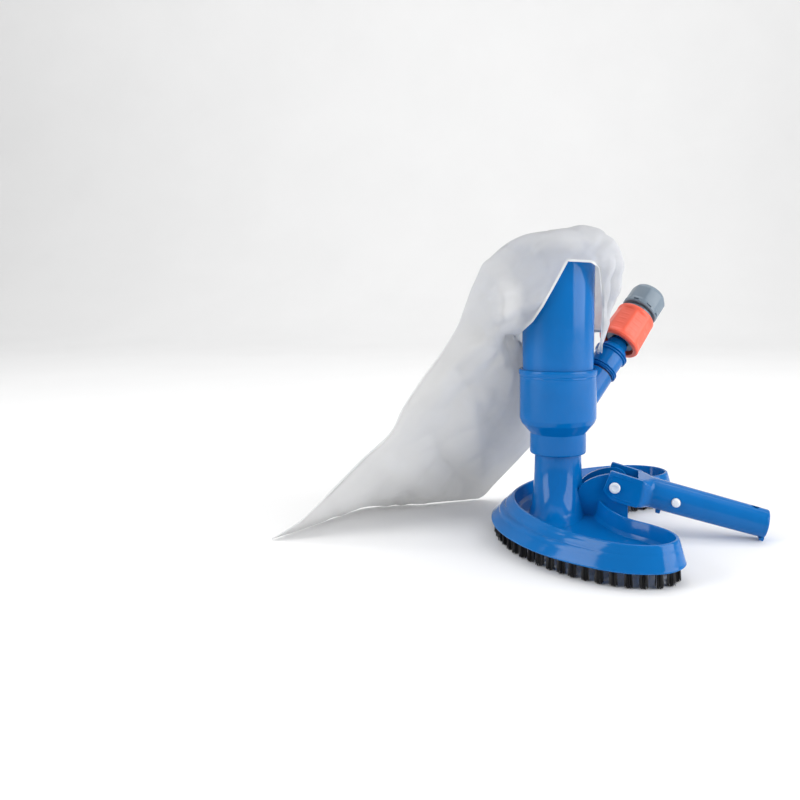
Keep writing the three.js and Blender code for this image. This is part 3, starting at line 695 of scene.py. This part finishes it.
def sleeve_radius(r, angle, z):
    """The sleeve's outside: soft panels that fade out at both ends, each with a column of shallow squares."""
    if r < SLEEVE_R[1] - 1.6:
        return r
    low, high = SLEEVE
    middle = smoothstep(z, low + 3, low + 8) * (1 - smoothstep(z, high - 8, high - 3))
    cell = ((z - low - 8) / SQUARE_PITCH) % 1
    square = smoothstep(0.62 - abs(panel_place(angle)), 0, 0.08) * smoothstep(0.4 - abs(cell - 0.5), 0, 0.08)
    return faceted(r, angle, 0.7 * middle) - SQUARE_DEPTH * square * middle


def release_sleeve():
    steps, bore, seat = 64, 17.1, SPRING_SEATS[0]
    wide, narrow = SLEEVE_R
    z0, z1 = SLEEVE
    side = [(wide - (wide - narrow) * k / steps, z0 + 2 + (z1 - z0 - 4) * k / steps) for k in range(1, steps)]
    mouth = [(bore, 127.5), (bore, z0), (wide - 1.4, z0), (wide, z0 + 2), (wide, z0 + 3)]
    end = [(narrow, z1 - 3), (narrow, z1 - 1.6), (narrow - 1, z1), (bore, z1), (bore, seat)]
    inner = [(13.4, seat), (13.4, 140), (15.4, 140), (15.4, 131.5), (16.9, 127.5)]
    profile = [*softened(mouth, 0.8, closed=False)[:-1], *side, *softened(end, 0.6, closed=False)[1:], *inner]
    piece(turned(profile, 192, sleeve_radius), "release_sleeve_moulding", BRANCH, "sleeve",
          "coral_plastic", ["release_sleeve"], sharp=50)


def nut_radius(r, angle, z):
    """The nut's outside: soft panels above a foot with one shallow slot in each panel."""
    bore = 15.8
    if r < bore:
        return r
    body = smoothstep(z, NUT[0] + 4, NUT[0] + 7) * smoothstep(r, bore, 17)
    slot = smoothstep(0.42 - abs(panel_place(angle)), 0, 0.05)
    slot_height = smoothstep(0.9 - abs(z - NUT[0] - 2.6), 0, 0.3)
    return faceted(r, angle, 0.6 * body) - SLOT_DEPTH * slot * slot_height


def connector_nut():
    steps, bore = 44, 15.4
    z0, z1 = NUT
    side = [(NUT_R, z0 + 1.2 + (z1 - z0 - 7) * k / steps) for k in range(steps + 1)]
    edge = NUT_R - 0.8
    dome = [side[-1], (edge, z1 - 3.6), (16.4, z1 - 0.9), (14.6, z1), (10.6, z1), (10.4, z1 - 2)]
    profile = [(bore, z0), (edge, z0), *side[:-1], *softened(dome, 1.4, 4, closed=False), (bore, z1 - 2)]
    piece(turned(profile, 192, nut_radius), "connector_nut_moulding", BRANCH, "nut",
          "grey_plastic", ["connector_nut"], sharp=50)


# ---- handle


def handle_tube():
    """A yoke that narrows smoothly to the tube, with two ears, bored through."""
    wide, (near, far), sides = EAR[1], HANDLE_R, 80
    # [x, half width, half height, how square: 2 is round]
    stations = [
        (19, wide, 13, 9), (24, wide, 13.1, 9), (27, wide - 1, 13.3, 6), (30.5, wide - 4, 13.8, 3.2),
        (34, near + 0.4, near, 2.2), (38, near, near, 2), (80, 13.6, 13.6, 2), (HANDLE_END, far, far, 2),
    ]
    rings = []
    for x, wide, high, power in through(stations, per_span=6):
        ring = []
        for a in angles(sides):
            c, s = math.cos(a), math.sin(a)
            y = wide * math.copysign(abs(c) ** (2 / max(power, 2)), c)
            z = high * math.copysign(abs(s) ** (2 / max(power, 2)), s)
            ring.append((x, y, z))
        rings.append(ring)
    handle = work_object(rings_shape(rings))
    ear = [(24, 12.9), (-7, 14.2), (-10, -5.5), (-1.5, -12), (14, -13.2), (24, -12.6)]
    ears = [prism(softened(ear, 1.5), *sorted((s * EAR[0], s * EAR[1])), axis="y") for s in (-1, 1)]
    lug = [prism([(42, -17.2), (46, -17.2), (46.6, -12), (41.4, -12)], -2.5, 2.5, axis="y")]
    cut_or_join(handle, ears + lug, "UNION", bevel=0.55)
    bore = prism(circle(far - 2.6, 64), 28, HANDLE_END + 2, axis="x")
    cross_hole = prism(circle(CROSS_HOLE[1], 32, CROSS_HOLE[0]), -THROUGH, THROUGH)
    pin_hole = prism(circle(PIN_HOLE_R, 32), -THROUGH, THROUGH, axis="y")
    button_hole = prism(circle(BUTTON_R + 0.4, 32, BUTTON_AT), -THROUGH, THROUGH, axis="y")
    cut_or_join(handle, [bore, cross_hole, pin_hole, button_hole], "DIFFERENCE")
    piece(handle, "handle_moulding", HANDLE, "handle", "blue_plastic", ["handle_tube"], sharp=34)


def ear_rims():
    """A fine raised line just inside the edge of each ear's outer face."""
    line = softened([(17, 9.4), (-4.4, 10.6), (-7, -4.4), (0, -8.8), (17, -9.8)], 2.5, 5, closed=False)
    for name, side in (("near", -1), ("far", 1)):
        rings = []
        for k, (x, z) in enumerate(line):
            a, b = np.array(line[max(k - 1, 0)]), np.array(line[min(k + 1, len(line) - 1)])
            way = (b - a) / np.linalg.norm(b - a)
            out = np.array((way[1], -way[0]))
            foot, crest = side * (EAR[1] - 0.15), side * (EAR[1] + 0.3)
            section = ((0.55, foot), (0.3, crest), (-0.3, crest), (-0.55, foot))
            rings.append([(x + out[0] * w, h, z + out[1] * w) for w, h in section])
        piece(rings_shape(rings), f"ear_rim_{name}", HANDLE, "handle", "blue_plastic")


def about_x(shape):
    """A shape turned about Z, laid along X."""
    return [(z, x, y) for x, y, z in shape[0]], shape[1]


def about_y(shape, side):
    """A shape turned about Z, laid along Y on one side."""
    return [(x, side * z, y) for x, y, z in shape[0]], shape[1]


def moved(shape, x):
    return [(p[0] + x, p[1], p[2]) for p in shape[0]], shape[1]


def handle_end_plug():
    """A disc that closes the tube, with a small hooked lip underneath."""
    r = HANDLE_R[1]
    seam, end = HANDLE_END + 0.06, HANDLE_END + 3
    disc = [(0, seam - 4), (r - 3, seam - 4), (r - 3, seam), (r, seam), (r, end - 1.2), (r - 0.4, end - 0.4),
            (r - 1.2, end), (0, end)]
    plug = work_object(about_x(turned(disc, 80)))
    hook = [(seam, -r + 2), (seam, -r - 0.15), (seam - 1.6, -r - 0.15), (seam - 1.4, -r - 2.2),
            (end - 0.6, -r - 2.4), (end, -r - 1), (end, -r + 2)]
    lip = prism(softened(hook, 0.7), -5, 5, axis="y")
    cut_or_join(plug, [lip], "UNION", bevel=0.25)
    piece(plug, "handle_end_plug_moulding", HANDLE, "handle", "blue_plastic", ["handle_end_plug"])


def hinge_pin():
    """A plain shaft through both ears, with a round head that is dished in its middle."""
    r, head_r, seat = PIN_HOLE_R - PIN_GAP, 5.1, EAR[1] + 0.6
    head = [(0, seat), (head_r, seat), (head_r, seat + 1), (head_r - 0.5, seat + 1.8), (2.6, seat + 2.05),
            (2.3, seat + 1.65), (0, seat + 1.5)]
    shaft = [(0, -seat - 1.8), (r, -seat - 1.8), (r, seat - 0.2), (0, seat - 0.2)]
    pin = work_object(about_y(turned(softened(head, 0.35), 64), -1))
    cut_or_join(pin, [about_y(turned(softened(shaft, 0.4), 48), -1)], "UNION")
    piece(pin, "hinge_pin_moulding", HANDLE, "handle", "white_plastic", ["hinge_pin"])


def snap_buttons():
    """Domed buttons, each with a shoulder that keeps it inside the tube."""
    back, shoulder, shoulder_r = 7.7, 8.6, BUTTON_R + 1
    profile = [(0, back), (shoulder_r, back), (shoulder_r, shoulder), (BUTTON_R, shoulder), (BUTTON_R, 15.6),
               (2.9, 17), (0, 17.4)]
    for name, side in (("left", 1), ("right", -1)):
        shape = moved(about_y(turned(softened(profile, 0.8, 5), 64), side), BUTTON_AT)
        piece(shape, f"snap_button_cap_{name}", HANDLE, f"button_{name}", "white_plastic",
              [f"snap_button_{name}"])


# ---- springs


def sleeve_spring():
    """A coil between the sleeve and the connector's flange."""
    turns, steps, sides, radius, wire, gap = 5, 40, 8, 15.1, 0.6, 0.3
    first, last = SPRING_SEATS
    rise = last - first - 2 * (wire + gap)
    rings = []
    for k in range(turns * steps + 1):
        a = 2 * math.pi * k / steps
        way = (math.cos(a), math.sin(a))
        middle = first + wire + gap + rise * k / (turns * steps)
        ring = []
        for b in angles(sides):
            r = radius + wire * math.cos(b)
            ring.append((r * way[0], r * way[1], middle + wire * math.sin(b)))
        rings.append(ring)
    spring = piece(rings_shape(rings), "sleeve_spring_coil", BRANCH, "connector",
                   "spring_steel", ["sleeve_spring"])
    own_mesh(spring)


def snap_springs():
    """The two arms of the leaf spring behind the snap buttons, one arm for each button."""
    reach, thick, tall = 7.3, 0.6, 3.2
    at = BUTTON_AT
    line = [(at - 5, reach), (at + 5, reach), (at + 9, reach - 0.5), (at + 38, 1.5), (at + 42, 0.8)]
    for name, side, nodes in (("left", 1, ["snap_spring"]), ("right", -1, [])):
        outline = [(x, side * y) for x, y in line] + [(x, side * (y - thick)) for x, y in line[::-1]]
        arm = piece(prism(outline, -tall, tall), f"snap_spring_arm_{name}", HANDLE, "handle",
                    "spring_steel", nodes)
        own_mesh(arm)


# ---- filter bag

# The bag is worked out in two level directions square to each other: u to the right and v away, as seen
# from the front of the object, turned by VIEW_TURN from its X and Y, and in z.
VIEW_TURN = math.radians(10)
U = np.array((math.cos(VIEW_TURN), math.sin(VIEW_TURN)))
V = np.array((-math.sin(VIEW_TURN), math.cos(VIEW_TURN)))


def in_bag(vector):
    """A vector of x, y and z as one of u, v and z."""
    x, y, z = vector
    return np.array((x * U[0] + y * U[1], x * V[0] + y * V[1], z))


# Each row runs across the bag: where its outer seam is, and where its front and its back end. The first
# rows end at the hem of the mouth, round the tube; the others end at the inner seam, front and back alike.
OUTER, FRONT, BACK = 0, 1, 2
BAG_ROWS = [
    ((40, 6, 168), (41, -3, 170), (42, 12, 173)),
    ((47.5, 6, 208), (42, -12, 216), (47, 24, 186)),
    ((61.5, 2, 249), (35, -36, 251), (41, 40, 188)),
    ((48, 0, 279), (27, -45, 255.5), (24, 52, 180)),
    ((12, 0, 287), (5, -46, 256.5), (2, 57, 172)),
    ((-38, -2, 280), (-9.5, -40, 229), (-18, 54, 166)),
    ((-65, -1, 260.5), (-17, -37, 215.5), (-32, 42, 166)),
    ((-80, -2, 237.5), (-26, -31, 201.5), (-41, 22, 174)),
    ((-89, -4, 213.5), (-38.5, -12, 188), (-42, -4, 186)),
    ((-96, -6, 195), (-33, 24, 172), (-33, 24, 172)),
    ((-112.5, -10, 168), (-20, 50, 140), (-20, 50, 140)),
    ((-129.5, -14, 145), (-12, 74, 108), (-12, 74, 108)),
    ((-146, -18, 119.5), (-14, 89, 74), (-14, 89, 74)),
    ((-157.5, -21, 96.5), (-30, 96, 52), (-30, 96, 52)),
    ((-181.5, -25, 74), (-51, 100, 29), (-51, 100, 29)),
    ((-208, -30, 47.5), (-64, 102, 15), (-64, 102, 15)),
    ((-238, -33, 18), (-73, 103, 5), (-73, 103, 5)),
    ((-264.5, -35, 1.4), (-79, 103, 1.4), (-79, 103, 1.4)),
]
HEM_ROW = 8  # the last row that ends at the hem
ROW_STEPS = 10
HALF_COLUMNS = 56
HEM_STEPS = (HEM_ROW + 1) * ROW_STEPS
BOTTOM_SEAM = [(-264.5, -35, 1.4), (-226, 30, 1.6), (-197, 70, 2), (-139, 82, 2), (-79, 103, 1.4)]
# half the bag's thickness at each row
FULLNESS = [2, 6, 11, 15, 16, 16, 16, 16, 17, 17, 17, 16, 15, 13, 11, 8, 4, 0]
# Creases pressed into the front: [from (u, z), to (u, z), height towards the front, half width].
CREASES = [
    ((-70, 253), (-48, 225), 8, 16), ((-48, 225), (-48, 210), 7, 12), ((-48, 210), (-56, 198), 6, 12),
    ((-56, 198), (-83, 177), 10, 22), ((-83, 177), (-117, 141), 10, 25), ((-117, 141), (-157, 98), 8, 22),
    ((-48, 212), (-9, 223), 5, 8), ((-46, 203), (-14, 213), -6, 9),
    ((-56, 198), (-47, 181), -7, 11), ((-47, 181), (-45, 161), -6, 9), ((-45, 161), (-49, 128), 5, 11),
    ((-46, 276), (-29, 268), -5, 9), ((-29, 268), (16, 279), 5, 10), ((-46, 276), (-62, 262), -4, 8),
    ((-81, 118), (-76, 43), 6, 17), ((-157, 98), (-205, 45), 6, 16), ((-120, 85), (-95, 25), -5, 18),
    ((-95, 150), (-65, 95), -4, 13), ((-165, 65), (-130, 20), 4, 15),
    ((38, 276), (30, 262), -4, 8), ((52, 262), (44, 246), 3, 7), ((50, 258), (46, 205), -4, 6),
]
BAG_CLEAR = 2.2  # least distance of the cloth from the tube and its flange
CLOTH = 0.45
BAG_FLAT = (0.40, 0.33)  # metres: round both panels, and down the bag
BRANCH_FOOT = in_bag(UPRIGHT.inverted() @ BRANCH.translation)
BRANCH_RUN = in_bag(branch_way)
# the room that the inlet and its connector need: [how far along the branch, radius]
BRANCH_ROOM = [(50, 0), (62, 18), (110, 18.5), (116, 24.8), (196, 24.8), (206, 0)]


def clear_of_plastic(grid):
    """The grid, with its points moved clear of the tube, its flange, the cup, the inlet and its connector."""
    u, v, z = grid[..., 0], grid[..., 1], grid[..., 2]
    r = np.hypot(u, v) + 1e-6
    # a rounded guard over the flange: the circle at its heart, its thickness, and its blend downwards
    heart_r, heart_z, reach, blend = FLANGE_R - 6, TUBE_TOP_Z - 6, 8.5 + BAG_CLEAR, 14
    beside_tube, beside_cup = TUBE_R[1] + BAG_CLEAR, CUP_R + 1 + BAG_CLEAR
    dr, dz = np.maximum(r - heart_r, 0), z - heart_z
    near = np.hypot(dr, dz)
    grow = reach / np.maximum(near, 1e-6)
    over = (dz > 0) & (near < reach)
    rise = np.clip((z - heart_z + blend) / blend, 0, 1)
    least = beside_tube + (heart_r + reach - beside_tube) * rise ** 2 * (3 - 2 * rise)
    least = np.where(z < CUP_Z[1] + 6, beside_cup, least)
    beside = (dz <= 0) & (r < least)
    new_r = np.where(over & (dr > 0), heart_r + dr * grow, np.where(beside, least, r))
    moved_grid = np.stack([u * new_r / r, v * new_r / r, np.where(over, heart_z + dz * grow, z)], -1)
    offset = moved_grid - BRANCH_FOOT
    far = offset @ BRANCH_RUN
    spoke = offset - far[..., None] * BRANCH_RUN
    wide = np.linalg.norm(spoke, axis=-1) + 1e-6
    room = np.interp(far, *zip(*BRANCH_ROOM), left=0)
    return moved_grid + spoke / wide[..., None] * np.maximum(room - wide, 0)[..., None]


def crease_heights(u, z, creases):
    """How far creases push the cloth out at each place: each is a ridge, sharp along its middle."""
    total = np.zeros_like(u)
    for (u0, z0), (u1, z1), height, half in creases:
        du, dz = u1 - u0, z1 - z0
        t = np.clip(((u - u0) * du + (z - z0) * dz) / (du * du + dz * dz), 0, 1)
        off = np.hypot(u - u0 - t * du, z - z0 - t * dz) / half
        total += height * np.maximum(1 - off, 0)
    return total


def crumple_heights(u, z, seed, depth=0.26, size=25, most=12):
    """Irregular flat patches, longer down the bag than across, with sharp valleys between them."""
    rng = np.random.default_rng(seed)
    turn, stretch, half = math.radians(52), 1.9, 280
    down = (u * math.cos(turn) + z * math.sin(turn)) / stretch
    across = -u * math.sin(turn) + z * math.cos(turn)
    count = int((2 * half / stretch) * 2 * half / size ** 2)
    hearts = rng.uniform((-half / stretch, -half), (half / stretch, half), (count, 2))
    gaps = np.hypot(down[..., None] - hearts[:, 0], across[..., None] - hearts[:, 1])
    gaps.partition(1, axis=-1)
    return depth * np.minimum(gaps[..., 1] - gaps[..., 0], most)


def bag_grid():
    """Rows of points across the bag: front end, outer seam, back end."""
    lines = [through([row[k] for row in BAG_ROWS], per_span=ROW_STEPS) for k in range(3)]
    steps = np.arange(HEM_ROW * ROW_STEPS + 1) / ROW_STEPS
    hem = np.array([row[FRONT] for row in BAG_ROWS], float)
    for axis in range(3):  # the front hem is cut straight from row to row
        lines[FRONT][:len(steps), axis] = np.interp(steps, np.arange(len(hem)), hem[:, axis])
    full = np.interp(np.arange(len(lines[0])) / ROW_STEPS, np.arange(len(FULLNESS)), FULLNESS)
    count = len(lines[0])
    bottom = evenly(through(BOTTOM_SEAM), HALF_COLUMNS + 1)
    t = np.linspace(0, 1, HALF_COLUMNS + 1)[:, None]
    bow = bottom - (bottom[0] + (bottom[-1] - bottom[0]) * t)
    grid = []
    for k in range(count):
        outer, after = lines[OUTER][k], lines[OUTER][min(k + 1, count - 1)]
        down = after - lines[OUTER][max(k - 1, 0)]
        to_bottom = smoothstep(k, count - 1 - 5 * ROW_STEPS, count - 1) ** 2
        row = []
        for which, sign in ((FRONT, -1), (BACK, 1)):
            chord = lines[which][k] - outer
            normal = np.cross(down, chord)
            normal /= max(np.linalg.norm(normal), 1e-6)
            if normal[1] > 0:
                normal = -normal
            bulge = full[k] * np.sin(math.pi * t).clip(0) ** 0.8
            row.append(outer + chord * t + bow * to_bottom - sign * normal * bulge)
        grid.append(np.vstack([row[0][::-1], row[1][1:]]))
    return np.array(grid)


def drawn_taut(grid, rounds=30):
    """The grid evened out as taut cloth would be, its hem and seams kept, and clear of the plastic."""
    grid = clear_of_plastic(grid)
    seam = grid[:, HALF_COLUMNS].copy()
    for _ in range(rounds):
        middle = grid[1:-1, 1:-1]
        around = grid[:-2, 1:-1] + grid[2:, 1:-1] + grid[1:-1, :-2] + grid[1:-1, 2:]
        grid[1:-1, 1:-1] = middle / 2 + around / 8
        grid[:, HALF_COLUMNS] = seam
        grid = clear_of_plastic(grid)
    return grid


def creased(grid):
    """The grid with creases and crumples raised along its normals, fading out at the hem and the seams."""
    u, z = grid[..., 0], grid[..., 2]
    normal = np.cross(np.gradient(grid, axis=0), np.gradient(grid, axis=1))
    normal /= np.linalg.norm(normal, axis=-1)[..., None] + 1e-9
    if normal[:, :HALF_COLUMNS, 1].mean() > 0:
        normal = -normal
    t = np.abs(np.arange(grid.shape[1]) - HALF_COLUMNS) / HALF_COLUMNS
    fade = np.sin(math.pi * t) ** 0.5
    fade[[0, -1]] = 0
    front = crease_heights(u, z, CREASES) + crumple_heights(u, z, 3)
    back = crumple_heights(u, z, 8, depth=0.3, size=30)
    height = np.where(np.arange(grid.shape[1]) < HALF_COLUMNS, front, back) * fade
    height[[0, -1]] = 0
    return clear_of_plastic(grid + normal * height[..., None])


def in_part(points):
    """Points of u, v and z as x, y and z about the tube."""
    points = np.array(points)
    flat = points[..., :1] * U + points[..., 1:2] * V
    return np.concatenate([flat, points[..., 2:]], -1)


def filter_bag():
    grid = creased(drawn_taut(bag_grid()))
    grid[..., 2] = np.maximum(grid[..., 2], 0.9)
    points = in_part(grid)
    rows, columns = grid.shape[:2]
    index = np.arange(rows * columns).reshape(rows, columns)
    index[HEM_STEPS:, -1] = index[HEM_STEPS:, 0]
    faces = []
    for k in range(rows - 1):
        for i in range(columns - 1):
            faces.append((index[k, i], index[k, i + 1], index[k + 1, i + 1], index[k + 1, i]))
    mesh = bpy.data.meshes.new("work")
    mesh.from_pydata([tuple(p) for p in points.reshape(-1, 3)], [], [tuple(int(v) for v in f) for f in faces])
    uv = mesh.uv_layers.new(name="cloth")
    width, length = BAG_FLAT
    for polygon in mesh.polygons:
        k, i = divmod(polygon.index, columns - 1)
        corners = ((k, i), (k, i + 1), (k + 1, i + 1), (k + 1, i))
        for loop, (a, b) in zip(polygon.loop_indices, corners):
            uv.data[loop].uv = (b / (columns - 1) * width, a / (rows - 1) * length)
    obj = linked("work", mesh)
    bm = bmesh.new()
    bm.from_mesh(mesh)
    bmesh.ops.remove_doubles(bm, verts=bm.verts, dist=1e-3)
    loose = [v for v in bm.verts if not v.link_faces]
    bmesh.ops.delete(bm, geom=loose, context="VERTS")
    bmesh.ops.recalc_face_normals(bm, faces=bm.faces)
    bm.to_mesh(mesh)
    bm.free()
    bag = piece(obj, "filter_bag_cloth", UPRIGHT, "vacuum", "bag_mesh", ["filter_bag"], sharp=180)
    bag.modifiers.clear()
    thick = bag.modifiers.new("cloth", "SOLIDIFY")
    thick.thickness = CLOTH / 1000
    thick.offset = 0
    return bag, grid


def ribbon(line, across, wide, thick):
    """A flat band along a line of points, across being the way that its width runs at each point."""
    section = ((-1, -0.4), (-0.85, -1), (0.85, -1), (1, -0.4), (1, 0.4), (0.85, 1), (-0.85, 1), (-1, 0.4))
    rings = []
    for k, p in enumerate(line):
        way = line[min(k + 1, len(line) - 1)] - line[max(k - 1, 0)]
        way = way / max(np.linalg.norm(way), 1e-6)
        side = across[k] - way * (across[k] @ way)
        side = side / max(np.linalg.norm(side), 1e-6)
        out = np.cross(way, side)
        rings.append([p + side * a * wide / 2 + out * b * thick / 2 for a, b in section])
    return rings_shape(rings)


def bag_trim(grid):
    """The folded hem round the mouth and the sewn outer and bottom seams."""
    near, seam_start, steps = 3, 6, 160
    front, back = grid[:HEM_STEPS, 0], grid[:HEM_STEPS, -1]
    hem = np.vstack([back[::-1], front])
    inward = np.vstack([(grid[:HEM_STEPS, -1 - near] - back)[::-1], grid[:HEM_STEPS, near] - front])
    outer = grid[seam_start:, HALF_COLUMNS]
    seam_way = outer - grid[seam_start:, HALF_COLUMNS - near] + np.array((0.0, -1.0, 0.0))
    bottom = grid[-1, :HALF_COLUMNS + 1] + np.array((0, 0, 0.6))
    up = np.tile(np.array((0.0, 0.0, 1.0)), (len(bottom), 1))
    made = []
    for name, line, way, wide, thick in (
        ("bag_hem", hem, inward, 2.4, 0.7),
        ("bag_side_seam", outer, seam_way, 1.6, 0.8),
        ("bag_bottom_seam", bottom, up, 1.2, 0.8),
    ):
        line, way = (in_part(evenly(points, steps)) for points in (line, way))
        made.append(piece(ribbon(line, way, wide, thick), name, UPRIGHT, "vacuum", "bag_mesh", sharp=60,
                          material=STITCH))
    return made


# ---- build


def carried_over_nodes():
    """The CAD nodes that stay get their slot's material and smooth shading."""
    slots = {row["node"]: row["material_slot"] for row in record["subparts"]}
    for name, node in frame["nodes"].items():
        if node.hide_render:
            continue
        node.data.materials.clear()
        node.data.materials.append(MATERIALS[slots[name]])
        node.data.polygons.foreach_set("use_smooth", [True] * len(node.data.polygons))
        node.data.set_sharp_from_angle(angle=math.radians(40))


head_shell()
bristle_rows()
jet_body()
discharge_tube()
inlet_adapter()
release_sleeve()
connector_nut()
handle_tube()
ear_rims()
handle_end_plug()
hinge_pin()
snap_buttons()
sleeve_spring()
snap_springs()
bag, bag_points = filter_bag()
trim = bag_trim(bag_points)
carried_over_nodes()

# ---- stage, lights and camera


def stage():
    """A pale floor that sweeps up into a backdrop behind the object."""
    near, bend, rise, top, half, steps = -5, 2.4, 1.2, 4, 6, 24
    profile = [(near, 0)]
    for k in range(steps + 1):
        a = math.pi / 2 * k / steps
        profile.append((bend + rise * math.sin(a), rise * (1 - math.cos(a))))
    profile.append((bend + rise, top))
    points = [tuple(U * side) for side in (-half, half)]
    verts = [(x + V[0] * v, y + V[1] * v, z) for v, z in profile for x, y in points]
    faces = [(2 * k, 2 * k + 1, 2 * k + 3, 2 * k + 2) for k in range(len(profile) - 1)]
    mesh = bpy.data.meshes.new("backdrop")
    mesh.from_pydata(verts, [], faces)
    mesh.polygons.foreach_set("use_smooth", [True] * len(faces))
    n = Nodes("pale_backdrop")
    shader = n.principled(Roughness=0.8)
    n.join(n.ramp(n.noise(3), [(0.3, (0.9,) * 3), (0.7, (0.92,) * 3)]), shader.inputs["Base Color"])
    mesh.materials.append(n.material)
    linked("backdrop", mesh)


def area_light(name, bearing, distance, height, size, radiance, target=None):
    """A soft box that faces the object or a target, its bearing in degrees to the right of the camera's."""
    data = bpy.data.lights.new(name, "AREA")
    data.shape = "RECTANGLE"
    data.size, data.size_y = size
    data.energy = radiance * math.pi * size[0] * size[1]
    light = linked(name, data)
    a = math.radians(bearing)
    place = U * math.sin(a) * distance - V * math.cos(a) * distance
    light.location = (place[0], place[1], height)
    aim = target or (cad_low + cad_high) / 2
    light.rotation_euler = (aim - light.location).to_track_quat("-Z", "Y").to_euler()


def lights():
    area_light("right soft box", bearing=66, distance=1.7, height=0.75, size=(1.5, 1.5), radiance=4.2)
    area_light("left soft box", bearing=-68, distance=1.8, height=0.8, size=(1.0, 1.4), radiance=4.6)
    area_light("top soft box", bearing=180, distance=0.3, height=2.3, size=(2.6, 2.6), radiance=0.8)
    area_light("backdrop lamp", bearing=180, distance=1.2, height=3.2, size=(9, 1), radiance=2.6,
               target=Vector((*(V * 3.4), 0.8)))
    world = bpy.data.worlds.new("studio")
    world.use_nodes = True
    background = world.node_tree.nodes["Background"].inputs
    background["Color"].default_value = (1, 1, 1, 1)
    background["Strength"].default_value = 0.36
    bpy.context.scene.world = world


# a level camera that looks along v, with its view slid down and to the left
CAMERA_BACK = 0.736
CAMERA_LEFT = 0.0558
CAMERA_HEIGHT = 0.2282
LENS = 34.43
SHIFT = (-0.125, -0.1356)


def camera():
    data = bpy.data.cameras.new("camera")
    data.lens = LENS
    data.sensor_width = 36
    data.shift_x, data.shift_y = SHIFT
    data.clip_start, data.clip_end = 0.01, 50
    eye = linked("camera", data)
    way = Vector((*V, 0))
    side = Vector((*U, 0))
    eye.location = TUBE_AXIS - way * CAMERA_BACK - side * CAMERA_LEFT + Vector((0, 0, CAMERA_HEIGHT))
    eye.rotation_euler = way.to_track_quat("-Z", "Y").to_euler()
    bpy.context.scene.camera = eye


stage()
lights()
camera()
bpy.context.scene.view_settings.view_transform = "Standard"
